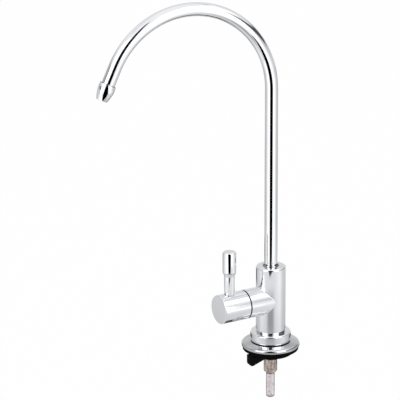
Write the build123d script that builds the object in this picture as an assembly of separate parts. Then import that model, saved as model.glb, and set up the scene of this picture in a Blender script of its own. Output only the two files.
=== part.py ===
from build123d import *

import os
from math import cos, radians, sin

# Drinking water tap. +Z is up, the origin is on the column's axis at the underside of the gasket, which is
# the top of the deck. The side branch points along -X and the spout, at rest, a little to its +Y side.

# Fits and cuts
running_clear = 0.05
still_clear = 0.03
seal_clear = 0.08
loose_clear = 0.3
thrust_clear = 0.05
overrun = 1.0

# Gasket and cover plate
gasket_inset = 0.85
gasket_h = 3.1
gasket_boss_h = 2.0
gasket_boss_edge = 1.2
plate_r = 23.5
plate_rim_h = 3.4
plate_crown_h = 0.7
plate_edge_r = 2.3
plate_wall = 1.0

# Ring seal and base ring
ring_r = 16.4
ring_seal_inset = 0.3
ring_seal_gap = 1.1
ring_seal_h = 0.7
ring_h = 7.5
ring_edge_r = 1.3
ring_foot_edge = 0.3

# Column and its side branch
column_r = 12.0
column_edge_r = 1.7
column_foot_edge = 0.25
spigot_share = 0.61
spigot_gap = 0.6
branch_rise = 26.95
branch_step = 0.4
branch_reach = 24.8
branch_edge = 0.3
branch_blend_r = 0.6

# Waterways inside the column
chamber_r = 4.2
chamber_h = 3.6
riser_r = 2.0
riser_step = 1.0
port_r = 2.0
branch_wall = 2.4
mouth_step = 1.0
cavity_roof_h = 3.45
outlet_r = 2.9
outlet_offset = 3.2
socket_depth = 16.9

# Shank through the deck
shank_r = 5.55
shank_drop = 19.2
shank_point_h = 1.7
shank_tip_wall = 0.45
shank_reach = 13.1
shank_bore_r = 2.6
shank_ring_minor = 0.75

# Inlet stub
stub_r = 3.5
stub_length = 30.3
stub_hold = 9.0
stub_wall = 1.4
stub_insert_step = 0.25
stub_end_edge = 1.1
inlet_ring_minor = 0.7

# Clamp washer and wing nut
washer_r = 18.0
washer_h = 3.35
washer_edge = 0.5
washer_play = 0.3
hub_wall = 2.25
hub_h = 4.6
hub_edge = 0.5
wing_reach = 5.7
wing_drop = 7.6
wing_tip_set = 3.5
wing_tip_drop = 3.5
wing_thick = 3.2
wing_edge = 0.5
wing_tip_round = 1.2
wing_rise = 0.35
wing_turn = 7.0

# Spout
tube_r = 5.25
tube_wall = 0.75
spring_rise = 145.3
arch_r = 68.2
arch_sweep = 155.0
tail_length = 13.0
spout_turn = -7.4

# Spout foot in the column's socket
foot_floor_gap = 0.3
foot_wall = 1.2
bush_wall = 1.25
foot_spigot_h = 7.0
foot_shoulder_h = 1.5
groove_h = 1.7
ring_minor = 0.72
ring_pitch = 2.9
ring_first = 1.8
slip_h = 1.2
slip_depth = 0.9
slip_split = 1.0
collar_wall = 0.85
collar_h = 1.0
collar_edge = 0.35
collar_play = 0.12

# Nozzle
nozzle_head_wall = 0.95
nozzle_belly_wall = 1.3
nozzle_waist_wall = 0.7
nozzle_neck_wall = 1.15
nozzle_tip_wall = 1.1
nozzle_belly_h = 3.0
nozzle_waist_h = 4.6
nozzle_neck_h = 3.2
nozzle_tip_h = 2.4
nozzle_hold = 5.0
nozzle_seal_h = 1.0
nozzle_seal_lap = 0.4
nozzle_seat_step = 1.25
nozzle_seat_h = 3.2
nozzle_mouth_step = 0.8
stream_r = 0.85
stream_wall = 0.8
stream_count = 6

# Ceramic cartridge, measured outwards from the column's axis
seat_seal_h = 3.0
seat_seal_bore_r = 2.6
disc_play = 0.2
disc_h = 2.4
disc_hole_r = 1.7
disc_hole_at = 3.4
carrier_h = 3.1
housing_start = 0.6
water_gap = 0.7
housing_wall = 1.2
window_w = 5.0
window_reach = 4.2
thread_start = 15.0
hex_step = 0.2
hex_h = 4.6
spindle_r = 3.6
spindle_tail = 12.05
spindle_flat_depth = 0.8
spindle_flat_length = 6.0
spindle_ring_step = 5.0
spindle_ring_minor = 0.6
cartridge_ring_minor = 0.75
cartridge_ring_step = 1.8

# Lever cap and rod
seam_gap = 0.75
glide_inset = 0.35
glide_h = 0.6
cap_length = 23.55
cap_edge = 0.7
cap_rim_edge = 0.25
cap_wall = 2.0
hex_room = 1.5
rod_step = 13.45
stem_r = 4.25
stem_sink = 2.5
stem_length = 17.75
tenon_step = 1.35
tenon_gap = 1.1
grip_step = 1.15
grip_length = 17.3
grip_taper_h = 2.8
grip_edge_r = 1.3
grip_foot_edge = 0.3
screw_step = 8.25
screw_r = 1.5
screw_length = 6.6
screw_key_r = 0.75
screw_key_depth = 1.6

# Radii that follow from the sizes above
gasket_r = plate_r - gasket_inset
gasket_boss_r = plate_r - plate_edge_r
deck_bore_r = shank_r + loose_clear
spigot_r = spigot_share * ring_r
ring_seal_r = ring_r - ring_seal_inset
ring_seal_bore_r = spigot_r + ring_seal_gap
branch_r = column_r - branch_step
mouth_r = branch_r - branch_wall
cavity_r = mouth_r - mouth_step
socket_r = tube_r + bush_wall
riser_offset = chamber_r + riser_step
shank_point_r = stub_r + shank_tip_wall
stub_bore_r = stub_r - stub_wall
stub_insert_r = stub_r - stub_insert_step
hub_r = shank_r + hub_wall
wing_r = washer_r + wing_reach
wing_tip_r = wing_r - wing_tip_set
tube_bore_r = tube_r - tube_wall
foot_r = socket_r - running_clear
foot_bore_r = tube_bore_r - foot_wall
collar_r = tube_r + collar_wall
nozzle_seat_r = tube_r - nozzle_seat_step
nozzle_mouth_r = nozzle_seat_r - nozzle_mouth_step
stream_pitch_r = nozzle_seat_r - stream_wall - stream_r
housing_r = cavity_r - water_gap
housing_bore_r = housing_r - housing_wall
disc_r = housing_bore_r - disc_play
hex_flats = 2 * (housing_r - hex_step)
spindle_seal_r = spindle_r + running_clear - seal_clear
glide_r = branch_r - glide_inset
cap_hollow_r = branch_r - cap_wall
tenon_r = stem_r - tenon_step
grip_r = stem_r + grip_step

# Heights and reaches that follow from the sizes above
gasket_top = gasket_h
plate_shoulder = gasket_top + plate_rim_h
plate_top = plate_shoulder + plate_crown_h
ring_bottom = plate_top + ring_seal_h
ring_top = ring_bottom + ring_h
branch_z = ring_top + branch_rise
spigot_bottom = ring_bottom + spigot_gap
shank_top = ring_bottom + shank_reach
shank_bottom = -shank_drop - shank_point_h
chamber_bottom = shank_top + 2 * shank_ring_minor
chamber_top = chamber_bottom + chamber_h
socket_floor = branch_z + cavity_r + cavity_roof_h
column_top = socket_floor + socket_depth
foot_bottom = socket_floor + foot_floor_gap
slip_middle = foot_bottom + ring_first + 2 * ring_pitch
foot_top = slip_middle + slip_h / 2 + foot_shoulder_h
spring_z = column_top + spring_rise
stub_top = shank_bottom + stub_hold
stub_bottom = stub_top - stub_length
inlet_seal_z = stub_top + inlet_ring_minor
washer_top = -thrust_clear
washer_bottom = washer_top - washer_h
nut_top = washer_bottom - thrust_clear
nut_bottom = nut_top - hub_h
disc_start = seat_seal_h + thrust_clear
moving_start = disc_start + disc_h + thrust_clear
carrier_start = moving_start + disc_h + still_clear
shoulder_at = carrier_start + carrier_h + thrust_clear
cartridge_ring_at = thread_start + cartridge_ring_step
spindle_ring_at = thread_start + spindle_ring_step
hex_start = branch_reach
cap_start = branch_reach + seam_gap
cap_end = cap_start + cap_length
cap_floor = hex_start + hex_h + hex_room
spindle_end = cap_start + spindle_tail
rod_at = cap_start + rod_step
screw_at = cap_start + screw_step
stem_seat = branch_r - stem_sink
stem_top = stem_seat + stem_length
grip_low = stem_top + grip_taper_h
grip_high = grip_low + grip_length
tenon_floor = spindle_r + tenon_gap
nozzle_waist_at = nozzle_belly_h + nozzle_waist_h
nozzle_neck_at = nozzle_waist_at + nozzle_neck_h
nozzle_length = nozzle_neck_at + nozzle_tip_h
arch_angle = radians(arch_sweep)

branch_frame = Pos(0, 0, branch_z) * Rot(0, -90, 0)
spout_frame = Rot(0, 0, spout_turn)


def rod(radius, low, high):
    """A solid cylinder on Z between two heights."""
    return Pos(0, 0, low) * Cylinder(radius, high - low, align=(Align.CENTER, Align.CENTER, Align.MIN))


def pipe(outer, inner, low, high):
    """A hollow cylinder on Z between two heights."""
    return rod(outer, low, high) - rod(inner, low - overrun, high + overrun)


def turned(outline):
    """A solid of revolution round Z from closed lines drawn as radius and height."""
    return revolve(Plane.XZ * make_face(outline), Axis.Z)


def o_ring(outer, minor, height):
    """A rubber ring whose widest circle has the outer radius."""
    return Pos(0, 0, height) * Torus(outer - minor, minor)


def round_edges(part, radius, height, reach):
    """Rounds the circular edges of one radius that lie at one height."""
    picked = [
        edge
        for edge in part.edges().filter_by(GeomType.CIRCLE)
        if abs(edge.center().Z - height) < still_clear and abs(edge.radius - reach) < still_clear
    ]
    return fillet(picked, radius)


def make_base_gasket():
    """Rubber gasket on the deck, with a boss that fills the cover plate."""
    boss = rod(gasket_boss_r, gasket_top, gasket_top + gasket_boss_h)
    boss = round_edges(boss, gasket_boss_edge, gasket_top + gasket_boss_h, gasket_boss_r)
    gasket = rod(gasket_r, 0, gasket_h) + boss
    return gasket - rod(deck_bore_r, -overrun, plate_top)


def make_escutcheon_plate():
    """Shallow pressed cover: upright lip, rounded edge, gently rising top."""
    rim_turn = plate_r - plate_edge_r
    lip_top = plate_shoulder - plate_edge_r
    hollow_top = gasket_top + gasket_boss_h + still_clear
    hollow_r = gasket_boss_r + still_clear
    bend = (rim_turn + plate_edge_r * cos(radians(45)), lip_top + plate_edge_r * sin(radians(45)))
    outline = [
        Line((deck_bore_r, plate_top), (ring_r + plate_wall, plate_top)),
        Line((ring_r + plate_wall, plate_top), (rim_turn, plate_shoulder)),
        ThreePointArc((rim_turn, plate_shoulder), bend, (plate_r, lip_top)),
        Line((plate_r, lip_top), (plate_r, gasket_top)),
        Line((plate_r, gasket_top), (hollow_r, gasket_top)),
        Line((hollow_r, gasket_top), (hollow_r, hollow_top)),
        Line((hollow_r, hollow_top), (deck_bore_r, hollow_top)),
        Line((deck_bore_r, hollow_top), (deck_bore_r, plate_top)),
    ]
    return turned(outline)


def make_ring_seal():
    """Thin black ring between cover plate and base ring."""
    return pipe(ring_seal_r, ring_seal_bore_r, plate_top, ring_bottom)


def make_base_ring():
    """Stepped ring that the column's shoulder stands on."""
    ring = rod(ring_r, ring_bottom, ring_top)
    ring = round_edges(ring, ring_edge_r, ring_top, ring_r)
    ring = round_edges(ring, ring_foot_edge, ring_bottom, ring_r)
    return ring - rod(spigot_r + still_clear, ring_bottom - overrun, ring_top + overrun)


def make_body_column():
    """Turned column with its side branch, bored for water, cartridge, shank and spout."""
    column = rod(column_r, ring_top, column_top)
    column = round_edges(column, column_edge_r, column_top, column_r)
    column = round_edges(column, column_foot_edge, ring_top, column_r)
    branch = rod(branch_r, 0, branch_reach)
    branch = branch_frame * round_edges(branch, branch_edge, branch_reach, branch_r)
    body = column + branch
    body = fillet(new_edges(column, branch, combined=body), branch_blend_r)
    body += rod(spigot_r, spigot_bottom, ring_top + overrun)
    body -= rod(shank_r + still_clear, spigot_bottom - overrun, chamber_bottom)
    body -= rod(chamber_r, shank_top, chamber_top)
    body -= Pos(riser_offset, 0, 0) * rod(riser_r, chamber_top - riser_r, branch_z + port_r)
    body -= branch_frame * rod(port_r, -riser_offset, overrun)
    body -= branch_frame * rod(cavity_r, 0, branch_reach + overrun)
    body -= branch_frame * rod(mouth_r, thread_start - thrust_clear, branch_reach + overrun)
    body -= Pos(-outlet_offset, 0, 0) * rod(outlet_r, branch_z, socket_floor + overrun)
    return body - rod(socket_r, socket_floor, column_top + overrun)


def make_threaded_shank():
    """Shank through the deck, screwed up into the column, bored for the inlet stub."""
    outline = Polyline(
        (shank_bore_r, shank_top),
        (shank_r, shank_top),
        (shank_r, -shank_drop),
        (shank_point_r, shank_bottom),
        (stub_insert_r + still_clear, shank_bottom),
        (stub_insert_r + still_clear, inlet_seal_z + inlet_ring_minor),
        (shank_bore_r, inlet_seal_z + inlet_ring_minor),
        close=True,
    )
    return turned(outline)


def make_inlet_stub():
    """Inlet pipe with a thinner end in the shank and a rounded lower end."""
    stub = rod(stub_r, stub_bottom, shank_bottom)
    stub = round_edges(stub, stub_end_edge, stub_bottom, stub_r)
    stub += rod(stub_insert_r, shank_bottom, stub_top)
    return stub - rod(stub_bore_r, stub_bottom - overrun, stub_top + overrun)


def make_clamp_washer():
    """Round plastic washer that presses on the deck from below."""
    washer = rod(washer_r, washer_bottom, washer_top)
    washer = round_edges(washer, washer_edge, washer_bottom, washer_r)
    return washer - rod(shank_r + washer_play, washer_bottom - overrun, overrun)


def make_wing():
    """One wing of the nut, which reaches up past the washer's rim."""
    inner = shank_r + running_clear
    notch = washer_r + washer_play
    outline = Polyline(
        (inner, nut_top),
        (notch, nut_top),
        (notch, -wing_rise),
        (wing_r, -wing_rise),
        (wing_r, -wing_drop),
        (wing_tip_r, -wing_drop - wing_tip_drop),
        (inner, nut_bottom),
        close=True,
    )
    wing = extrude(Plane.XZ * make_face(outline), wing_thick / 2, both=True)
    low_corners = [edge for edge in wing.edges().filter_by(Axis.Y) if edge.center().Z < nut_bottom]
    wing = fillet([edge for edge in low_corners if edge.center().X > wing_tip_r - overrun], wing_tip_round)
    sides = wing.faces().filter_by(Axis.Y)
    return fillet([edge for face in sides for edge in face.edges() if edge.center().X > notch], wing_edge)


def make_wing_nut():
    """Plastic nut with two wings, screwed up under the washer."""
    hub = rod(hub_r, nut_bottom, nut_top)
    hub = round_edges(hub, hub_edge, nut_bottom, hub_r)
    wing = make_wing()
    nut = hub + wing + Rot(0, 0, 180) * wing
    nut -= rod(shank_r + running_clear, nut_bottom - overrun, nut_top + overrun)
    return Rot(0, 0, wing_turn) * nut


def arch_point(angle):
    """A point on the spout's centre line, by its angle round the arch."""
    return Vector(-arch_r * (1 - cos(angle)), 0, spring_z + arch_r * sin(angle))


tail_direction = Vector(-sin(arch_angle), 0, cos(arch_angle))
arch_end = arch_point(arch_angle)
tail_end = arch_end + tail_direction * tail_length
tube_end = tail_end + tail_direction * nozzle_hold
nozzle_frame = spout_frame * Location(Plane(origin=tail_end, x_dir=(0, 1, 0), z_dir=tail_direction))


def swept_rod(radius):
    """A solid rod along the spout's whole centre line."""
    start = Vector(0, 0, foot_top)
    path = Wire(
        [
            Line(start, arch_point(0)).edge(),
            ThreePointArc(arch_point(0), arch_point(arch_angle / 2), arch_end).edge(),
            Line(arch_end, tube_end).edge(),
        ]
    )
    return sweep(Plane(origin=start, z_dir=(0, 0, 1)) * Circle(radius), path=path)


def make_spout_tube():
    """Bent gooseneck tube, from the foot's shoulder to inside the nozzle."""
    return spout_frame * (swept_rod(tube_r) - swept_rod(tube_bore_r))


def groove_centre(place):
    """The height of one seal on the spout's foot, counted from the bottom."""
    return foot_bottom + ring_first + ring_pitch * place


def make_spout_foot():
    """Turned fitting in the tube's lower end, with two seal grooves and a slip ring groove."""
    foot = rod(foot_r, foot_bottom, foot_top)
    foot += rod(tube_bore_r - still_clear, foot_top, foot_top + foot_spigot_h)
    groove_floor = socket_r - seal_clear - 2 * ring_minor - still_clear
    for place in (0, 1):
        middle = groove_centre(place)
        foot -= pipe(foot_r + overrun, groove_floor, middle - groove_h / 2, middle + groove_h / 2)
    slip_top = slip_middle + slip_h / 2 + still_clear
    slip_bottom = slip_middle - slip_h / 2 - still_clear
    foot -= pipe(foot_r + overrun, foot_r - slip_depth - still_clear, slip_bottom, slip_top)
    return foot - rod(foot_bore_r, foot_bottom - overrun, foot_top + foot_spigot_h + overrun)


def make_spout_o_ring(place):
    """One seal of the swivel."""
    return o_ring(socket_r - seal_clear, ring_minor, groove_centre(place))


def make_spout_slip_ring():
    """Split plastic ring that centres the spout's foot."""
    ring = pipe(foot_r, foot_r - slip_depth, slip_middle - slip_h / 2, slip_middle + slip_h / 2)
    return ring - Pos(socket_r / 2, 0, slip_middle) * Box(socket_r + overrun, slip_split, slip_h + overrun)


def make_spout_bush():
    """Bearing bush in the column's mouth that keeps the spout's foot down."""
    return pipe(socket_r - still_clear, tube_r + running_clear, foot_top + thrust_clear, column_top)


def make_spout_collar():
    """Slim trim ring where the tube enters the column."""
    collar = rod(collar_r, column_top, column_top + collar_h)
    collar = round_edges(collar, collar_edge, column_top + collar_h, collar_r)
    return collar - rod(tube_r + collar_play, column_top - overrun, column_top + collar_h + overrun)


def make_spout_nozzle():
    """Barrel shaped nozzle, measured from the tube's joint line to its tip."""
    tube_seat = nozzle_hold + nozzle_seal_h
    seat_end = tube_seat + nozzle_seat_h
    head = (tube_r + nozzle_head_wall, 0)
    belly = (tube_r + nozzle_belly_wall, nozzle_belly_h)
    waist = (tube_r + nozzle_waist_wall, nozzle_waist_at)
    neck = (nozzle_seat_r + nozzle_neck_wall, nozzle_neck_at)
    tip = (nozzle_mouth_r + nozzle_tip_wall, nozzle_length)
    outline = [
        Line((tube_r + still_clear, 0), head),
        ThreePointArc(head, belly, waist),
        ThreePointArc(waist, neck, tip),
        Line(tip, (nozzle_mouth_r, nozzle_length)),
        Line((nozzle_mouth_r, nozzle_length), (nozzle_mouth_r, seat_end)),
        Line((nozzle_mouth_r, seat_end), (nozzle_seat_r, seat_end)),
        Line((nozzle_seat_r, seat_end), (nozzle_seat_r, tube_seat)),
        Line((nozzle_seat_r, tube_seat), (tube_r + still_clear, tube_seat)),
        Line((tube_r + still_clear, tube_seat), (tube_r + still_clear, 0)),
    ]
    return nozzle_frame * turned(outline)


def make_nozzle_seal():
    """Flat rubber washer between tube end and nozzle."""
    bore = nozzle_seat_r - nozzle_seal_lap
    return nozzle_frame * pipe(tube_r, bore, nozzle_hold, nozzle_hold + nozzle_seal_h)


def make_flow_straightener():
    """Plastic insert with straight holes that smooths the stream."""
    low = nozzle_hold + nozzle_seal_h
    insert = rod(nozzle_seat_r - still_clear, low, low + nozzle_seat_h)
    hole = rod(stream_r, low - overrun, low + nozzle_seat_h + overrun)
    insert -= hole
    for place in range(stream_count):
        insert -= Rot(0, 0, 360 * place / stream_count) * Pos(stream_pitch_r, 0, 0) * hole
    return nozzle_frame * insert


def make_cartridge_housing():
    """Valve housing: windowed barrel, threaded flange and hexagon head."""
    housing = rod(housing_r, housing_start, thread_start)
    housing += rod(mouth_r - still_clear, thread_start, hex_start)
    hexagon = extrude(RegularPolygon(hex_flats / 2, 6, major_radius=False), hex_h)
    housing += Pos(0, 0, hex_start) * hexagon
    housing -= rod(housing_bore_r, housing_start - overrun, shoulder_at)
    housing -= rod(spindle_r + running_clear, housing_start, hex_start + hex_h + overrun)
    low, high = cartridge_ring_at - cartridge_ring_minor, cartridge_ring_at + cartridge_ring_minor
    groove_floor = mouth_r - 2 * cartridge_ring_minor - still_clear
    housing -= pipe(mouth_r + overrun, groove_floor, low - still_clear, high + still_clear)
    window = Box(4 * housing_r, window_w, window_reach)
    housing -= Pos(0, 0, moving_start + window_reach / 2) * window
    return branch_frame * housing


def make_cartridge_seat_seal():
    """Rubber ring between the column's inlet port and the fixed disc."""
    return branch_frame * pipe(housing_bore_r - still_clear, seat_seal_bore_r, 0, seat_seal_h)


def valve_disc(start):
    """A ceramic disc with two water holes."""
    disc = rod(disc_r, start, start + disc_h)
    hole = rod(disc_hole_r, start - overrun, start + disc_h + overrun)
    for side in (-1, 1):
        disc -= Pos(0, side * disc_hole_at, 0) * hole
    return disc


def make_ceramic_disc_fixed():
    """Disc that stays still, with its holes level."""
    return branch_frame * valve_disc(disc_start)


def make_ceramic_disc_moving():
    """Disc that turns with the spindle, a quarter turn away while the tap is shut."""
    return branch_frame * Rot(0, 0, 90) * valve_disc(moving_start)


def make_cartridge_spindle():
    """Spindle with its disc carrier, a seal groove and a flat for the set screw."""
    spindle = rod(disc_r, carrier_start, carrier_start + carrier_h)
    spindle += rod(spindle_r, carrier_start, spindle_end)
    low, high = spindle_ring_at - spindle_ring_minor, spindle_ring_at + spindle_ring_minor
    groove_floor = spindle_seal_r - 2 * spindle_ring_minor - still_clear
    spindle -= pipe(spindle_r + overrun, groove_floor, low - still_clear, high + still_clear)
    flat = Box(2 * spindle_r, 2 * spindle_r, spindle_flat_length)
    flat_at = spindle_end - spindle_flat_length / 2
    spindle -= Pos(spindle_flat_depth - 2 * spindle_r, 0, flat_at) * flat
    return branch_frame * spindle


def make_spindle_o_ring():
    """Rubber ring in the spindle's groove."""
    return branch_frame * o_ring(spindle_seal_r, spindle_ring_minor, spindle_ring_at)


def make_cartridge_o_ring():
    """Rubber ring between the housing and the branch."""
    return branch_frame * o_ring(mouth_r - still_clear, cartridge_ring_minor, cartridge_ring_at)


def make_glide_ring():
    """Dark ring in the seam, on which the lever cap glides."""
    return branch_frame * pipe(glide_r, mouth_r + still_clear, branch_reach, branch_reach + glide_h)


def make_lever_cap():
    """Turning end of the branch, hollow over the housing's head, bored for spindle, rod and screw."""
    cap = rod(branch_r, cap_start, cap_end)
    cap = round_edges(cap, cap_edge, cap_end, branch_r)
    cap = round_edges(cap, cap_rim_edge, cap_start, branch_r)
    cap -= rod(cap_hollow_r, cap_start - overrun, cap_floor)
    cap -= rod(spindle_r + still_clear, cap_floor - overrun, spindle_end + still_clear)
    rod_hole = rod(stem_r + still_clear, stem_seat, branch_r + overrun)
    rod_hole += rod(tenon_r + still_clear, tenon_floor - still_clear, stem_seat + overrun)
    cap -= Pos(0, 0, rod_at) * Rot(0, 90, 0) * rod_hole
    cap -= Pos(0, 0, screw_at) * Rot(0, -90, 0) * rod(screw_r + still_clear, 0, branch_r + overrun)
    return branch_frame * cap


def make_cap_set_screw():
    """Socket screw that locks the cap on the spindle's flat."""
    tip = spindle_r - spindle_flat_depth + still_clear
    screw = rod(screw_r, tip, tip + screw_length)
    screw -= rod(screw_key_r, tip + screw_length - screw_key_depth, tip + screw_length + overrun)
    return branch_frame * Pos(0, 0, screw_at) * Rot(0, -90, 0) * screw


def make_lever_rod():
    """Stem and grip, one turned piece with a tenon in the cap."""
    outline = Polyline(
        (0, tenon_floor),
        (tenon_r, tenon_floor),
        (tenon_r, stem_seat),
        (stem_r, stem_seat),
        (stem_r, stem_top),
        (grip_r, grip_low),
        (grip_r, grip_high),
        (0, grip_high),
        close=True,
    )
    turned_rod = round_edges(turned(outline), grip_edge_r, grip_high, grip_r)
    turned_rod = round_edges(turned_rod, grip_foot_edge, grip_low, grip_r)
    return Pos(-rod_at, 0, branch_z) * turned_rod


nodes = {
    "base_gasket": make_base_gasket(),
    "escutcheon_plate": make_escutcheon_plate(),
    "ring_seal": make_ring_seal(),
    "base_ring": make_base_ring(),
    "body_column": make_body_column(),
    "threaded_shank": make_threaded_shank(),
    "shank_o_ring": o_ring(shank_r, shank_ring_minor, shank_top + shank_ring_minor),
    "inlet_stub": make_inlet_stub(),
    "inlet_seal": o_ring(stub_insert_r, inlet_ring_minor, inlet_seal_z),
    "clamp_washer": make_clamp_washer(),
    "wing_nut": make_wing_nut(),
    "spout_tube": make_spout_tube(),
    "spout_foot": make_spout_foot(),
    "spout_o_ring_lower": make_spout_o_ring(0),
    "spout_o_ring_upper": make_spout_o_ring(1),
    "spout_slip_ring": make_spout_slip_ring(),
    "spout_bush": make_spout_bush(),
    "spout_collar": make_spout_collar(),
    "spout_nozzle": make_spout_nozzle(),
    "nozzle_seal": make_nozzle_seal(),
    "flow_straightener": make_flow_straightener(),
    "cartridge_housing": make_cartridge_housing(),
    "cartridge_seat_seal": make_cartridge_seat_seal(),
    "ceramic_disc_fixed": make_ceramic_disc_fixed(),
    "ceramic_disc_moving": make_ceramic_disc_moving(),
    "cartridge_spindle": make_cartridge_spindle(),
    "spindle_o_ring": make_spindle_o_ring(),
    "cartridge_o_ring": make_cartridge_o_ring(),
    "glide_ring": make_glide_ring(),
    "lever_cap": make_lever_cap(),
    "cap_set_screw": make_cap_set_screw(),
    "lever_rod": make_lever_rod(),
}

os.makedirs("parts", exist_ok=True)
for name, shape in nodes.items():
    export_step(shape, os.path.join("parts", f"{name}.step"))
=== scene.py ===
import logging
import math
from dataclasses import dataclass, field
from enum import Enum
from typing import Callable, Mapping, NamedTuple, Optional, Sequence, Union

import bmesh
import bpy
from mathutils import Matrix, Vector


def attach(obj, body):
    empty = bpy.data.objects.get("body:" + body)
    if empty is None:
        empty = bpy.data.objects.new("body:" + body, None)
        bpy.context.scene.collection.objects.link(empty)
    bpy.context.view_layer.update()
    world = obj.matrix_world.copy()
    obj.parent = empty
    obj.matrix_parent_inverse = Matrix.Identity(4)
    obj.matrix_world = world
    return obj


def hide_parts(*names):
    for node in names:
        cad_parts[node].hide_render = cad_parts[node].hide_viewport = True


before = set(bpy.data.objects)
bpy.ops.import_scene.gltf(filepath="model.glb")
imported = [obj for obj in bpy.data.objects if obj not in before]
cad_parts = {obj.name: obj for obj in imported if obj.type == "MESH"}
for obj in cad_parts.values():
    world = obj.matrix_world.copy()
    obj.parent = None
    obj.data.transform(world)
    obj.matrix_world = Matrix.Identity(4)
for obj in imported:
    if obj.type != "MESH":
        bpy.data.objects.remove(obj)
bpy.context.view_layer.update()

log = logging.getLogger("drinking_water_tap")

Colour = tuple[float, float, float]

# The two places between which something comes in or goes out
Fade = tuple[float, float]

MM = 0.001

# Directions, and heights and reaches in millimetres that more than one piece uses
OUTWARD, UPWARD = (-1.0, 0.0, 0.0), (0.0, 0.0, 1.0)
RING_TOP, COLUMN_TOP, COLLAR_TOP = 15.4, 70.9, 71.9
BRANCH_Z, BRANCH_R, BRANCH_END, CAP_START = 42.35, 11.6, 24.8, 25.55
GRIP_LOW = 29.65
THREAD_ROOT_R, THREAD_CREST_R = 5.2, 5.55
SHANK_END = -20.9
NOZZLE_AXIS, NOZZLE_JOINT = (-0.4191, 0.05443, -0.90631), -154.12

# Room between two pieces that fit together, and corners nearer than this are one, in millimetres
FIT = 0.03
MERGE = 0.0005

# Facets round a turned piece, by how large and bright it is
FINE, MEDIUM, COARSE = 160, 128, 96

CHROME = (0.875, 0.884, 0.91)
BLACK = (0.0022, 0.0022, 0.0024)
# Painted shade along joints: the near black that the colour is darkened to there, and how much rougher the
# joints get
JOINT_SHADE = (0.015, 0.015, 0.016)
JOINT_DULLING = 0.3
WHITE = (1.0, 1.0, 1.0)


class Corner(NamedTuple):
    """A corner of a turned outline, in millimetres: its radius, its height and how far it is rounded."""

    radius: float
    height: float
    rounding: float = 0.0


# Node graphs


def grey(level: float) -> Colour:
    """A grey of a level, where 1 is white."""
    return (level, level, level)


class Signal:
    """A node's output, which Python sums turn into further Math nodes."""

    def __init__(self, graph: "Graph", socket: bpy.types.NodeSocket) -> None:
        """Keeps the socket and the graph that it belongs to."""
        self.graph = graph
        self.socket = socket

    def sum_with(self, operation: str, first: "Value", second: "Value") -> "Signal":
        """Adds one Math node.

        Args:
            operation: The Math node's operation.
            first: Its first value or link.
            second: Its second value or link.

        Returns:
            The Math node's output.
        """
        return self.graph.node("ShaderNodeMath", {"operation": operation}, {0: first, 1: second})

    def __add__(self, other: "Value") -> "Signal":
        """Signal plus value."""
        return self.sum_with("ADD", self, other)

    def __radd__(self, other: "Value") -> "Signal":
        """Value plus signal."""
        return self.sum_with("ADD", other, self)

    def __sub__(self, other: "Value") -> "Signal":
        """Signal minus value."""
        return self.sum_with("SUBTRACT", self, other)

    def __rsub__(self, other: "Value") -> "Signal":
        """Value minus signal."""
        return self.sum_with("SUBTRACT", other, self)

    def __mul__(self, other: "Value") -> "Signal":
        """Signal times value."""
        return self.sum_with("MULTIPLY", self, other)

    def __rmul__(self, other: "Value") -> "Signal":
        """Value times signal."""
        return self.sum_with("MULTIPLY", other, self)

    def __truediv__(self, other: "Value") -> "Signal":
        """Signal divided by value."""
        return self.sum_with("DIVIDE", self, other)

    def __pow__(self, other: "Value") -> "Signal":
        """Signal to a power."""
        return self.sum_with("POWER", self, other)

    def at_most(self, other: "Value") -> "Signal":
        """The smaller of the signal and a value."""
        return self.sum_with("MINIMUM", self, other)

    def size(self) -> "Signal":
        """The signal without its sign."""
        return self.sum_with("ABSOLUTE", self, 0.0)

    def between(self, low: float, high: float) -> "Signal":
        """Spreads the stretch from low to high smoothly over 0 to 1.

        Args:
            low: Where the result starts to leave 0.
            high: Where it reaches 1.

        Returns:
            The eased signal.
        """
        return self.graph.node(
            "ShaderNodeMapRange",
            {"interpolation_type": "SMOOTHSTEP"},
            {"Value": self, "From Min": low, "From Max": high},
        )


Value = Union[float, int, tuple, Signal, Vector]


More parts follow.
